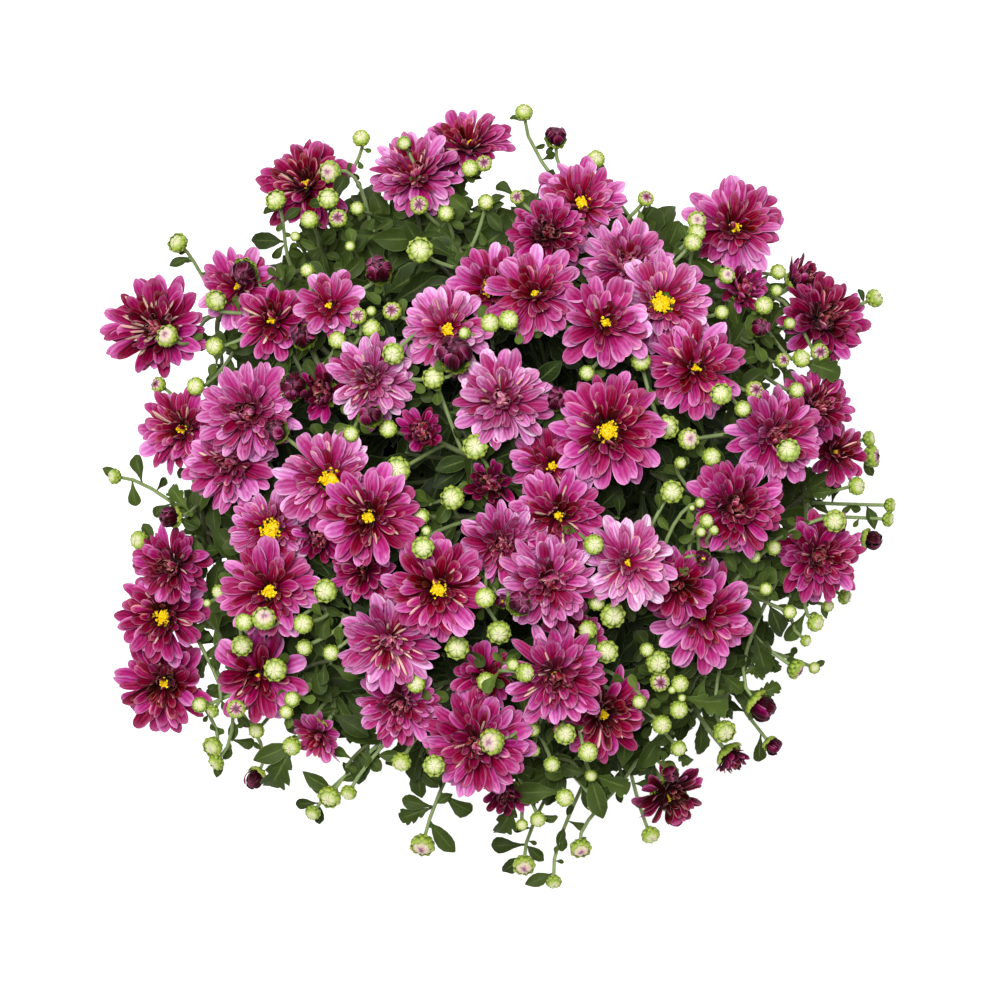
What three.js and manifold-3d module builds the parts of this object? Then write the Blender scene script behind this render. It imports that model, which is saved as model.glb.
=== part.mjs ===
// A pot chrysanthemum in full bloom: a plain grower pot, the potting mix in it, six rooted
// cuttings with their shoots, leaves and buds, and the flower heads that the shoots carry.
// Millimetres, +Z up. The origin is the centre of the pot's flat base, on the floor.
import * as THREE from 'three';
import { mergeVertices } from 'three/addons/utils/BufferGeometryUtils.js';
import Module from 'manifold-3d';

const wasm = await Module();
wasm.setup();

// ---------- Driving dimensions, mm and degrees ----------

// The pot: a tapered shell with a thicker band round its mouth.
const POT_HEIGHT = 145;
const POT_BASE_RADIUS = 68;
const POT_NECK_RADIUS = 88;
const POT_RIM_RADIUS = 94;
const POT_RIM_DEPTH = 20;
const POT_WALL = 2;
const POT_FLOOR = 3;
const POT_FOOT_BEVEL = 3;
const POT_LIP = 1.5;
const POT_SEGMENTS = 36;
const DRAIN_HOLES = 6;
const DRAIN_RADIUS = 6;
const DRAIN_RING = 46;
const DRAIN_SEGMENTS = 8;

// The potting mix fills the pot and leaves two centimetres of watering room under the rim.
const MIX_TOP = 124;
const MIX_CROWN = 3;
const MIX_SEGMENTS = 36;
const GAP = 0.3;

// The stems: cuttings stand in the mix, and each is pinched so that it breaks into shoots.
const ROOT_DEPTH = 14;
const MAIN_RADIUS = 3.6;
const MAIN_HEIGHT = 62;
const MAIN_LEAN = 12;
const MAIN_SIDES = 5;
const MAIN_STEPS = 3;
const SHOOT_RADIUS = 1.5;
const SHOOT_SIDES = 4;
const SHOOT_STEPS = 5;
const STALK_RADIUS = 1;
const STALK_STEPS = 2;

// Where a shoot may break from the stem that bears it, and at what angle.
const BREAK_ANGLE = 42;
const BREAK_STEP = 0.05;
const MAIN_BREAKS = [0.4, 0.95];
const SHOOT_BREAKS = [0.2, 0.8];
const BREAK_ROOM = 7;
const LEAST_DROP = 24;
const LEAST_REACH = 42;
const STALK_DROP = 6;
const STALK_REACH = 20;
const DETOUR_SHARE = 0.35;
const FLAT_COST = 4;
const SHORT_COST = 3;
const CROWD_COST = 40;
const START_SHARE = 0.32;
const END_SHARE = 0.34;

// The cuttings: how far from the pot's axis each one stands, and its compass bearing.
const CUTTING_RING = 38;
const CUTTINGS = 5;
const FIRST_BEARING = 54;
const CENTRE_REACH = 62;

// The canopy is a dome: its height at a distance from the axis.
const DOME_BASE = 190;
const DOME_RISE = 165;
const DOME_RADIUS = 180;
const DOME_EDGE = 174;

// A flower head is a shallow bowl of ray florets on a short neck.
const HEAD_SIDES = 10;
const BUD_SIDES = 5;
const NECK_RADIUS = 2.6;
const EYE_HEIGHT = 9;
const EYE_SHARE = 0.45;
const RIM_LOW = 0.3;
const RIM_HIGH = 0.42;
const LEAN_SHARE = 0.3;

// A closed bud is a button: where its side starts and ends, and its height, in radii.
const BUD_FOOT = [0.85, 0.35];
const BUD_SHOULDER = [1, 1.1];
const BUD_HEIGHT = 1.6;

// A leaf is a thin blade, broadest past its middle. One shoot in so many bears leaves.
const LEAF_THICKNESS = 1;
const LEAF_SKIP = 3;
const LEAF_SEAT = 0.1;

// ---------- The plan of the plant ----------

// Places are read on a plan drawn from one point high above the pot, in plan units from
// the plan's top left corner, with y running down. A thing nearer to that point than the
// canopy's own level lies a little closer to the axis than the plan shows it.
const PLAN_UNIT = 0.45;
const PLAN_CENTRE = [500, 492];
const PLAN_LEVEL = 300;
const PLAN_EYE = 1800;

// The flower heads: number, plan x and y of the eye, width in plan units, and how many mm
// a head stands above or below the dome. Some give their own lean, in degrees.
const HEADS = [
  [1, 467, 139, 92, 0, 36],
  [2, 415, 170, 93, -5, 28],
  [3, 304, 180, 102, 0, 20],
  [4, 582, 200, 92, -4, 18],
  [5, 548, 232, 80, 4, 10],
  [6, 737, 224, 105, 0, 14],
  [7, 628, 262, 96, -9, 16],
  [8, 492, 287, 86, -9],
  [9, 535, 292, 98, 5],
  [10, 606, 322, 98, 9],
  [11, 664, 301, 96, -1],
  [14, 825, 318, 97, 0, 14],
  [15, 235, 285, 84, -7],
  [16, 155, 327, 110, 3, 8],
  [17, 270, 319, 80, -7],
  [18, 328, 304, 76, 4],
  [19, 447, 328, 88, -3],
  [20, 370, 378, 92, 1],
  [21, 502, 400, 97, 0],
  [22, 609, 430, 108, 7],
  [23, 697, 367, 102, 1],
  [24, 179, 428, 90, -4, 14],
  [25, 247, 412, 100, 8],
  [26, 228, 464, 96, 0],
  [27, 327, 480, 100, -2],
  [28, 368, 517, 100, 8],
  [30, 552, 466, 84, -12],
  [31, 558, 516, 92, -3],
  [32, 503, 544, 88, -6],
  [33, 549, 583, 96, 7],
  [34, 437, 590, 100, 7],
  [35, 629, 564, 95, 9],
  [36, 738, 507, 97, 5],
  [37, 778, 435, 97, 7],
  [38, 820, 405, 80, -9, 24],
  [39, 840, 452, 72, -11, 26],
  [40, 820, 556, 96, 0, 12],
  [41, 704, 617, 108, -8],
  [42, 680, 585, 80, 1],
  [43, 556, 677, 100, 9],
  [44, 478, 745, 110, 5, 8],
  [45, 400, 705, 86, -7],
  [46, 387, 641, 100, 0],
  [47, 267, 592, 100, 4],
  [48, 268, 531, 80, -8],
  [51, 170, 566, 85, -9],
  [52, 160, 617, 96, 0, 14],
  [53, 162, 684, 104, 0, 10],
  [54, 256, 677, 98, -5],
  [55, 315, 741, 66, -16, 46],
  [56, 605, 717, 94, -5, 20],
  [57, 673, 800, 80, -4, 40],
];

// The buds that stand out round the edge: plan x and y, radius in plan units, lean, and
// for some how many mm they stand above the dome.
const EDGE_BUDS = [
  [524, 111, 9, 30],
  [556, 136, 11, 34],
  [361, 137, 9, 24],
  [275, 199, 10, 26, 16],
  [177, 242, 10, 40],
  [646, 198, 8, 24],
  [697, 232, 9, 20],
  [779, 271, 8, 20],
  [876, 297, 9.5, 50],
  [871, 438, 8, 60],
  [874, 456, 11, 64],
  [858, 486, 9, 34, 14],
  [892, 505, 7.5, 66],
  [890, 519, 7.5, 60],
  [872, 539, 11, 66],
  [847, 597, 8, 50],
  [817, 623, 9, 34],
  [807, 641, 6, 44],
  [798, 670, 10, 74],
  [762, 707, 14, 70],
  [773, 746, 9, 60],
  [737, 766, 20, 84],
  [725, 732, 11, 30],
  [651, 836, 9.5, 40],
  [581, 850, 10.5, 42],
  [554, 883, 8, 44],
  [524, 866, 11, 36],
  [422, 847, 12, 44],
  [312, 814, 8, 40],
  [329, 798, 11, 34],
  [348, 794, 8, 40],
  [255, 778, 11, 56],
  [212, 747, 10, 34],
  [215, 763, 8.5, 52],
  [211, 712, 7, 56],
  [291, 747, 9.5, 30],
  [401, 763, 9.5, 30],
  [113, 476, 8, 48],
  [157, 384, 8, 40],
  [170, 517, 11, 56],
  [137, 540, 9.5, 30],
];

// ---------- Solids ----------

const UP = new THREE.Vector3(0, 0, 1);
const radians = THREE.MathUtils.degToRad;

// Corners nearer to each other than this are one corner.
const WELD = 1e-4;

// A closed geometry as a solid: shared corners are merged and empty faces dropped.
function solidOf(geometry) {
  const bare = geometry.clone();
  bare.deleteAttribute('normal');
  bare.deleteAttribute('uv');
  const merged = mergeVertices(bare, WELD);
  const corners = merged.index.array;
  const faces = [];
  for (let i = 0; i < corners.length; i += 3) {
    const [a, b, c] = [corners[i], corners[i + 1], corners[i + 2]];
    if (a !== b && b !== c && c !== a) faces.push(a, b, c);
  }
  return new wasm.Manifold(new wasm.Mesh({
    numProp: 3,
    vertProperties: merged.attributes.position.array,
    triVerts: new Uint32Array(faces),
  }));
}

// A solid's largest single body as a geometry, so that no loose sliver is left by a cut.
function geometryOf(solid) {
  const bodies = solid.decompose();
  const main = bodies.reduce((best, body) => (body.volume() > best.volume() ? body : best));
  const { vertProperties, triVerts } = main.getMesh();
  const geometry = new THREE.BufferGeometry();
  geometry.setAttribute('position', new THREE.BufferAttribute(vertProperties, 3));
  geometry.setIndex(new THREE.BufferAttribute(triVerts, 1));
  geometry.computeVertexNormals();
  return geometry;
}

// A turned shape: the profile's [radius, height] points run from the axis round to the axis.
function turned(profile, segments) {
  const points = profile.map(([radius, height]) => new THREE.Vector2(radius, height));
  return new THREE.LatheGeometry(points, segments).rotateX(Math.PI / 2);
}

// A round rod of constant radius along a curve.
function rod(curve, radius, sides, steps) {
  const section = new THREE.Shape();
  for (let i = 0; i < sides; i += 1) {
    const angle = (2 * Math.PI * i) / sides;
    section[i === 0 ? 'moveTo' : 'lineTo'](radius * Math.cos(angle), radius * Math.sin(angle));
  }
  section.closePath();
  const options = { steps, bevelEnabled: false, extrudePath: curve };
  return solidOf(new THREE.ExtrudeGeometry(section, options));
}

// Moves a geometry made about +Z so that its origin is at a point and +Z along a direction.
function placed(geometry, point, direction) {
  const turn = new THREE.Quaternion().setFromUnitVectors(UP, direction);
  const size = new THREE.Vector3(1, 1, 1);
  return geometry.applyMatrix4(new THREE.Matrix4().compose(point, turn, size));
}

const touches = (solid, others) => others.some((other) => solid.intersect(other).volume() > 0);

// ---------- Places on the plant ----------

const domeHeight = (radius) => {
  const share = Math.min(radius, DOME_EDGE) / DOME_RADIUS;
  return DOME_BASE + DOME_RISE * Math.sqrt(1 - share * share);
};

// A plan place at the dome's height plus a level: the height and the place settle together.
function onDome(planX, planY, level) {
  const place = new THREE.Vector3(0, 0, PLAN_LEVEL);
  for (let pass = 0; pass < 3; pass += 1) {
    const nearness = (PLAN_UNIT * (PLAN_EYE - place.z)) / (PLAN_EYE - PLAN_LEVEL);
    place.x = (planX - PLAN_CENTRE[0]) * nearness;
    place.y = (PLAN_CENTRE[1] - planY) * nearness;
    place.z = domeHeight(Math.hypot(place.x, place.y)) + level;
  }
  return place;
}

// The way a head or bud faces: tipped outward from straight up by so many degrees.
function facing(place, lean) {
  const bearing = Math.atan2(place.y, place.x);
  const tip = radians(lean);
  return new THREE.Vector3(
    Math.sin(tip) * Math.cos(bearing),
    Math.sin(tip) * Math.sin(bearing),
    Math.cos(tip),
  );
}

// How far the dome itself slopes at a distance from the axis, in degrees.
function domeSlope(radius) {
  const share = Math.min(radius, DOME_EDGE) / DOME_RADIUS;
  const steepness = (DOME_RISE / DOME_RADIUS) * share / Math.sqrt(1 - share * share);
  return THREE.MathUtils.radToDeg(Math.atan(steepness));
}

const bearingOf = (place) => THREE.MathUtils.euclideanModulo(
  THREE.MathUtils.radToDeg(Math.atan2(place.y, place.x)), 360);

// Which cutting feeds a place: the middle one near the axis, else the one of its sector.
function cuttingOf(place) {
  if (Math.hypot(place.x, place.y) < CENTRE_REACH) return CUTTINGS;
  const sector = 360 / CUTTINGS;
  const turn = THREE.MathUtils.euclideanModulo(bearingOf(place) - FIRST_BEARING + sector / 2, 360);
  return Math.floor(turn / sector);
}

const heads = HEADS.map(([number, planX, planY, width, level, ownLean]) => {
  const eye = onDome(planX, planY, level);
  const radius = (width / 2) * PLAN_UNIT;
  const lean = ownLean ?? LEAN_SHARE * domeSlope(Math.hypot(eye.x, eye.y));
  const axis = facing(eye, lean);
  const base = eye.clone().addScaledVector(axis, -EYE_HEIGHT);
  return { number, eye, radius, axis, base, cutting: cuttingOf(eye) };
});

const edgeBuds = EDGE_BUDS.map(([planX, planY, planRadius, lean, level = 0]) => {
  const radius = planRadius * PLAN_UNIT;
  const top = onDome(planX, planY, level);
  const axis = facing(top, lean);
  const base = top.clone().addScaledVector(axis, -radius);
  return { radius, axis, base, cutting: cuttingOf(top) };
});

// ---------- Pot and potting mix ----------

function makePot() {
  const neck = POT_HEIGHT - POT_RIM_DEPTH;
  const shell = [
    [0, 0],
    [POT_BASE_RADIUS - POT_FOOT_BEVEL, 0],
    [POT_BASE_RADIUS, POT_FOOT_BEVEL],
    [POT_NECK_RADIUS, neck - 2 * POT_LIP],
    [POT_RIM_RADIUS - POT_LIP, neck],
    [POT_RIM_RADIUS, neck + POT_LIP],
    [POT_RIM_RADIUS, POT_HEIGHT - POT_LIP],
    [POT_RIM_RADIUS - POT_LIP, POT_HEIGHT],
    [POT_RIM_RADIUS - POT_WALL - POT_LIP, POT_HEIGHT],
    [POT_NECK_RADIUS - POT_WALL, neck],
    [POT_BASE_RADIUS - POT_WALL, POT_FLOOR],
    [0, POT_FLOOR],
  ];
  let pot = solidOf(turned(shell, POT_SEGMENTS));
  const drill = 4 * POT_FLOOR;
  for (let i = 0; i < DRAIN_HOLES; i += 1) {
    const angle = (2 * Math.PI * i) / DRAIN_HOLES;
    const hole = new THREE.CylinderGeometry(DRAIN_RADIUS, DRAIN_RADIUS, drill, DRAIN_SEGMENTS);
    hole.rotateX(Math.PI / 2);
    hole.translate(DRAIN_RING * Math.cos(angle), DRAIN_RING * Math.sin(angle), POT_FLOOR / 2);
    pot = pot.subtract(solidOf(hole));
  }
  return pot;
}

// The inside radius of the pot's wall at a height below the rim band.
function potInside(height) {
  const neck = POT_HEIGHT - POT_RIM_DEPTH;
  const share = (height - POT_FLOOR) / (neck - POT_FLOOR);
  return POT_BASE_RADIUS - POT_WALL + share * (POT_NECK_RADIUS - POT_BASE_RADIUS);
}

function makeMix(sockets) {
  const bottom = POT_FLOOR + GAP;
  // The pot has more sides than the mix, so the mix keeps clear of the flats of both.
  const clearance = 2 * GAP;
  const mound = [
    [0, bottom],
    [potInside(bottom) - clearance, bottom],
    [potInside(MIX_TOP) - clearance, MIX_TOP],
    [potInside(MIX_TOP) / 2, MIX_TOP + MIX_CROWN],
    [0, MIX_TOP + MIX_CROWN],
  ];
  const mix = solidOf(turned(mound, MIX_SEGMENTS));
  return sockets.reduce((left, socket) => left.subtract(socket), mix);
}

// ---------- Stems ----------

// A cutting's own stem, from its foot in the mix to where it was pinched.
function mainStem(cutting) {
  const bearing = radians(FIRST_BEARING + (360 / CUTTINGS) * cutting);
  const ring = cutting === CUTTINGS ? 0 : CUTTING_RING;
  const lean = cutting === CUTTINGS ? 0 : MAIN_LEAN;
  const out = new THREE.Vector3(Math.cos(bearing), Math.sin(bearing), 0);
  const foot = out.clone().multiplyScalar(ring).setZ(MIX_TOP + MIX_CROWN - ROOT_DEPTH);
  const top = out.clone().multiplyScalar(ring + lean).setZ(MIX_TOP + MAIN_HEIGHT);
  const middle = foot.clone().lerp(top, 0.5).addScaledVector(out, -lean / 4);
  return new THREE.QuadraticBezierCurve3(foot, middle, top);
}

// A stem from one point to another, leaving in one direction and arriving in the other.
function stemCurve(start, leaving, end, arriving) {
  const span = start.distanceTo(end);
  return new THREE.CubicBezierCurve3(
    start,
    start.clone().addScaledVector(leaving, START_SHARE * span),
    end.clone().addScaledVector(arriving, -END_SHARE * span),
    end,
  );
}

// What a break at a point costs: its length, the way back to the root, a drop too small for
// it to rise naturally, a stem too short, and breaks that crowd each other. Costs are in mm.
function breakCost(start, wayBack, goal, taken, least) {
  const reach = start.distanceTo(goal);
  const drop = goal.z - start.z;
  const flat = Math.max(0, least.drop - drop) * FLAT_COST;
  const short = Math.max(0, least.reach - reach) * SHORT_COST;
  const crowded = taken.some((point) => point.distanceTo(start) < BREAK_ROOM) ? CROWD_COST : 0;
  return reach + DETOUR_SHARE * wayBack + flat + short + crowded;
}

// The cheapest point of a framework of stems from which a new stem can reach its goal.
function breakFor(stems, goal, taken, least) {
  let best = { cost: Infinity };
  stems.forEach((stem) => {
    const [first, last] = stem.breaks;
    for (let t = first; t <= last; t += BREAK_STEP) {
      const start = stem.curve.getPoint(t);
      const wayBack = stem.wayBack + t * stem.span;
      const cost = breakCost(start, wayBack, goal, taken, least);
      if (cost < best.cost) best = { cost, start, wayBack, tangent: stem.curve.getTangent(t) };
    }
  });
  return best;
}

// Grows a new stem on the framework, bending away from its bearer towards its goal.
function grow(stems, taken, end, arriving, least) {
  const { start, wayBack, tangent } = breakFor(stems, end, taken, least);
  const towards = end.clone().sub(start);
  const aside = towards.addScaledVector(tangent, -towards.dot(tangent)).normalize();
  const angle = radians(BREAK_ANGLE);
  const leaving = tangent.clone().multiplyScalar(Math.cos(angle))
    .addScaledVector(aside, Math.sin(angle));
  taken.push(start);
  const curve = stemCurve(start, leaving, end, arriving);
  return { curve, wayBack, span: start.distanceTo(end), breaks: SHOOT_BREAKS };
}

// One cutting's framework: its main stem, a shoot for each head and a stalk for each bud.
// The heads nearest the main stem grow first, and later ones break from their shoots.
function frameworkOf(cutting) {
  const curve = mainStem(cutting);
  const top = curve.getPoint(1);
  const main = { curve, wayBack: 0, span: MAIN_HEIGHT, breaks: MAIN_BREAKS };
  const stems = [main];
  const taken = [];
  const fed = heads.filter((head) => head.cutting === cutting);
  fed.sort((a, b) => a.base.distanceTo(top) - b.base.distanceTo(top));
  fed.forEach((head) => {
    const end = head.base.clone().addScaledVector(head.axis, -GAP);
    const least = { drop: LEAST_DROP, reach: LEAST_REACH };
    stems.push(grow(stems, taken, end, head.axis, least));
  });
  const shoots = stems.slice(1);
  const stalks = edgeBuds.filter((bud) => bud.cutting === cutting).map((bud) => {
    const end = bud.base.clone().addScaledVector(bud.axis, bud.radius / 2);
    const least = { drop: STALK_DROP, reach: STALK_REACH };
    return { bud, curve: grow(shoots, taken, end, bud.axis, least).curve };
  });
  return { main: curve, shoots: shoots.map((shoot) => shoot.curve), stalks };
}

function budSolid(bud) {
  const r = bud.radius;
  const profile = [[0, 0], BUD_FOOT, BUD_SHOULDER, [0, BUD_HEIGHT]].map(
    ([across, up]) => [across * r, up * r],
  );
  return solidOf(placed(turned(profile, BUD_SIDES), bud.base, bud.axis));
}

// A leaf's blade lies along +Y from its stalk. Its outline is in shares of its length.
const LEAF_OUTLINE = [
  [-0.04, 0],
  [0.04, 0],
  [0.24, 0.36],
  [0.28, 0.66],
  [0, 1],
  [-0.28, 0.66],
  [-0.24, 0.36],
];

function leafSolid(root, direction, length) {
  const corners = LEAF_OUTLINE.map(([x, y]) => new THREE.Vector2(x * length, y * length));
  const outline = new THREE.Shape(corners);
  const blade = new THREE.ExtrudeGeometry(outline, { depth: LEAF_THICKNESS, bevelEnabled: false });
  blade.translate(0, 0, -LEAF_THICKNESS / 2);
  const across = new THREE.Vector3().crossVectors(direction, UP).normalize();
  const face = new THREE.Vector3().crossVectors(across, direction);
  const frame = new THREE.Matrix4().makeBasis(across, direction, face).setPosition(root);
  return solidOf(blade.applyMatrix4(frame));
}

// Candidate leaves of a shoot, spiralling round it as they climb.
const LEAVES = [
  { along: 0.22, turn: 70, length: 44, droop: -0.15 },
  { along: 0.42, turn: -80, length: 40, droop: -0.05 },
  { along: 0.62, turn: 60, length: 30, droop: 0.1 },
];

function leavesOf(shoot) {
  return LEAVES.map(({ along, turn, length, droop }) => {
    const root = shoot.getPoint(along);
    const tangent = shoot.getTangent(along);
    const flat = new THREE.Vector3(root.x, root.y, 0).normalize();
    const direction = flat.applyAxisAngle(UP, radians(turn)).setZ(droop).normalize();
    const seat = root.clone().addScaledVector(tangent, LEAF_SEAT);
    return leafSolid(seat, direction, length);
  });
}

// ---------- Flower heads ----------

// The bowl of a head, grown all round by an allowance.
function headSolid(head, allowance) {
  const r = head.radius + allowance;
  const profile = [
    [0, -allowance],
    [NECK_RADIUS + allowance, -allowance],
    [r, head.radius * RIM_LOW - allowance],
    [r, head.radius * RIM_HIGH + allowance],
    [EYE_SHARE * r, EYE_HEIGHT + allowance],
    [0, EYE_HEIGHT + allowance],
  ];
  return solidOf(placed(turned(profile, HEAD_SIDES), head.base, head.axis));
}

// ---------- Assembly ----------

const parts = [];
const add = (name, solid, material) => {
  const mesh = new THREE.Mesh(geometryOf(solid), material);
  mesh.name = name;
  parts.push(mesh);
};

const plastic = new THREE.MeshStandardMaterial({ color: 0x6b3a2a, roughness: 0.55, metalness: 0 });
const soil = new THREE.MeshStandardMaterial({ color: 0x2a1c12, roughness: 0.95, metalness: 0 });
const green = new THREE.MeshStandardMaterial({ color: 0x3d5a33, roughness: 0.6, metalness: 0 });
const petals = new THREE.MeshStandardMaterial({ color: 0xb8327f, roughness: 0.7, metalness: 0 });

// Every cutting's bare framework first, at its own size and grown by the gap.
const frameworks = [];
for (let cutting = 0; cutting <= CUTTINGS; cutting += 1) {
  const { main, shoots, stalks } = frameworkOf(cutting);
  const build = (extra) => {
    const bodies = [rod(main, MAIN_RADIUS + extra, MAIN_SIDES, MAIN_STEPS)];
    shoots.forEach((curve) => {
      bodies.push(rod(curve, SHOOT_RADIUS + extra, SHOOT_SIDES, SHOOT_STEPS));
    });
    stalks.forEach(({ curve }) => {
      bodies.push(rod(curve, STALK_RADIUS + extra, SHOOT_SIDES, STALK_STEPS));
    });
    return bodies.reduce((all, body) => all.add(body));
  };
  frameworks.push({ shoots, stalks, bare: build(0), grown: build(GAP) });
}

// The heads, from the highest down: each gives way to those above it and to the stems.
const cleared = [];
const inOrder = [...heads].sort((a, b) => b.base.z - a.base.z);
inOrder.forEach((head) => {
  let solid = headSolid(head, 0);
  cleared.filter(({ grown }) => touches(solid, [grown])).forEach(({ grown }) => {
    solid = solid.subtract(grown);
  });
  frameworks.forEach(({ grown }) => {
    if (touches(solid, [grown])) solid = solid.subtract(grown);
  });
  cleared.push({ head, solid, grown: headSolid(head, GAP) });
});

// Leaves and buds go where there is room among everything that stands already.
const crowd = cleared.map(({ grown }) => grown);
const potShell = makePot();
const cuttings = frameworks.map(({ shoots, stalks, bare }, cutting) => {
  const others = frameworks.filter((_, index) => index !== cutting).map(({ grown }) => grown);
  const inTheWay = [...others, ...crowd, potShell];
  let whole = bare;
  const grownOn = [];
  stalks.forEach(({ bud }) => {
    const solid = budSolid(bud);
    if (!touches(solid, inTheWay)) grownOn.push(solid);
  });
  shoots.forEach((shoot, order) => {
    if (order % LEAF_SKIP !== 0) return;
    leavesOf(shoot).forEach((solid) => {
      if (!touches(solid, inTheWay)) grownOn.push(solid);
    });
  });
  grownOn.forEach((solid) => {
    whole = whole.add(solid);
    crowd.push(solid);
  });
  return whole;
});

const sockets = frameworks.map(({ grown }) => grown);
add('pot', potShell, plastic);
add('potting_mix', makeMix(sockets), soil);
cuttings.forEach((solid, index) => {
  add(`cutting_${index + 1}`, solid, green.clone());
});
cleared.sort((a, b) => a.head.number - b.head.number);
cleared.forEach(({ head, solid }) => {
  add(`flower_head_${String(head.number).padStart(2, '0')}`, solid, petals.clone());
});

const group = new THREE.Group();
group.add(...parts);

export default group;
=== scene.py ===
# %% [markdown]
# # A pot chrysanthemum in full bloom
# The plant is a dome of double flower heads over leafy shoots, grown from six cuttings in a
# plain grower pot. This lesson builds every head, bud, leaf and stem as real geometry. What
# repeats is made by Geometry Nodes, because a chrysanthemum is little else than repetition:
# ray florets round a receptacle, scales round a bud, leaves round a stem.

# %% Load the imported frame
import math
import random

import bpy
from mathutils import Euler, Matrix, Vector


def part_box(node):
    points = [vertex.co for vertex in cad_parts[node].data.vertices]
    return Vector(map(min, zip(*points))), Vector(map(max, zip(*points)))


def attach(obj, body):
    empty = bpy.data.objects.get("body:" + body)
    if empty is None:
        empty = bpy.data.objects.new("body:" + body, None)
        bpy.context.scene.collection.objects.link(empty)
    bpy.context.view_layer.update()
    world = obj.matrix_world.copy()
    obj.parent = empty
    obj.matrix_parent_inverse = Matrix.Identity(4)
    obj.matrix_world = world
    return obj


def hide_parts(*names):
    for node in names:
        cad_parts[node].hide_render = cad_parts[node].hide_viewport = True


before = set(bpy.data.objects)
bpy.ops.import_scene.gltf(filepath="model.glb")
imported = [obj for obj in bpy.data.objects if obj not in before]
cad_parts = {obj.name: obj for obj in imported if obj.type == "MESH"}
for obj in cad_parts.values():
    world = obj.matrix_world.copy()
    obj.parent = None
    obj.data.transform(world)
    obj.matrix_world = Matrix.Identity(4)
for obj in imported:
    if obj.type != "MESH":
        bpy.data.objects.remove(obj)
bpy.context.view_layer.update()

# %% [markdown]
# ## Driving dimensions
# All sizes are in millimetres and degrees, as a grower would measure them, and are turned
# into metres and radians where a mesh or a node tree needs them.

# %% Name the sizes
MM = 0.001
GOLDEN_ANGLE = math.radians(137.508)
SEED = 11

POT_HEIGHT, POT_BASE_RADIUS, POT_NECK_RADIUS, POT_RIM_RADIUS = 145, 68, 88, 94
POT_RIM_DEPTH, POT_WALL, POT_FLOOR, POT_FOOT_BEVEL, POT_LIP = 20, 2, 3, 3, 1.5
DRAIN_HOLES, DRAIN_RADIUS, DRAIN_RING = 6, 6, 46
MIX_TOP, MIX_CROWN = 124, 3

ROOT_DEPTH, MAIN_RADIUS, MAIN_HEIGHT, MAIN_LEAN = 14, 3.6, 62, 12
SHOOT_RADIUS, STALK_RADIUS = 1.5, 0.85
BREAK_ANGLE, BREAK_STEP, BREAK_ROOM = 42, 0.05, 7
MAIN_BREAKS, SHOOT_BREAKS = (0.4, 0.95), (0.2, 0.8)
DETOUR_SHARE, FLAT_COST, SHORT_COST, CROWD_COST, UNDER_COST = 0.35, 4, 3, 40, 1.5
START_SHARE, END_SHARE = 0.32, 0.34
CUTTING_RING, CUTTINGS, FIRST_BEARING, CENTRE_REACH = 38, 5, 54, 62

DOME_BASE, DOME_RISE, DOME_RADIUS, DOME_EDGE = 190, 165, 180, 174
EYE_HEIGHT, LEAN_SHARE, GAP = 9, 0.3, 0.3

# %% [markdown]
# ## Where everything stands
# The plan of the plant gives each head and bud a place in plan units, as read by someone
# looking straight down from a point high above the pot. The dome gives its height. A thing
# that stands higher is nearer to that point, so the plan shows it further out than it is.

# %% Plan and dome
PLAN_UNIT, PLAN_LEVEL, PLAN_EYE = 0.45, 300, 1800
PLAN_MIDDLE, PLAN_CENTRE = 500, (500, 492)  # the middle of the plan, and the place of the pot
DOME_ROUNDS = 3  # how often a place and its height are worked out from each other


def dome_height(reach):
    share = min(reach, DOME_EDGE) / DOME_RADIUS
    return DOME_BASE + DOME_RISE * math.sqrt(1 - share * share)


def dome_slope(reach):
    share = min(reach, DOME_EDGE) / DOME_RADIUS
    return math.degrees(math.atan(DOME_RISE / DOME_RADIUS * share / math.sqrt(1 - share * share)))


def flat_reach(place):
    return math.hypot(place[0], place[1])


def on_plan(plan_x, plan_y, height):
    """The point at a height that the plan shows at a place."""
    nearness = PLAN_UNIT * (PLAN_EYE - height) / (PLAN_EYE - PLAN_LEVEL)
    return Vector(((plan_x - PLAN_CENTRE[0]) * nearness, (PLAN_CENTRE[1] - plan_y) * nearness, height))


def on_dome(plan_x, plan_y, level):
    height = PLAN_LEVEL
    for _ in range(DOME_ROUNDS):
        place = on_plan(plan_x, plan_y, height)
        height = dome_height(flat_reach(place)) + level
    return Vector((place.x, place.y, height))


def facing(place, lean):
    """The way a head or bud looks: tipped outward from straight up."""
    bearing, tip = math.atan2(place.y, place.x), math.radians(lean)
    return Vector((math.sin(tip) * math.cos(bearing), math.sin(tip) * math.sin(bearing), math.cos(tip)))


def cutting_of(place):
    if flat_reach(place) < CENTRE_REACH:
        return CUTTINGS
    sector = 360 / CUTTINGS
    bearing = math.degrees(math.atan2(place.y, place.x))
    return int(((bearing - FIRST_BEARING + sector / 2) % 360) // sector)


# %% [markdown]
# ## The flower heads
# Each head is at its own stage. A young one is small, dark and cupped, a fresh one is
# magenta and flat, and an old one has paled from the tips inwards. Some show a yellow eye of
# disc florets and others are double to the centre. Four words name the habits, and tone,
# eye and cream say the rest: tone runs from 0, dark, to 1, pale; eye is the disc's radius in
# millimetres; cream is the share of inner florets that show their pale backs.

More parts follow.
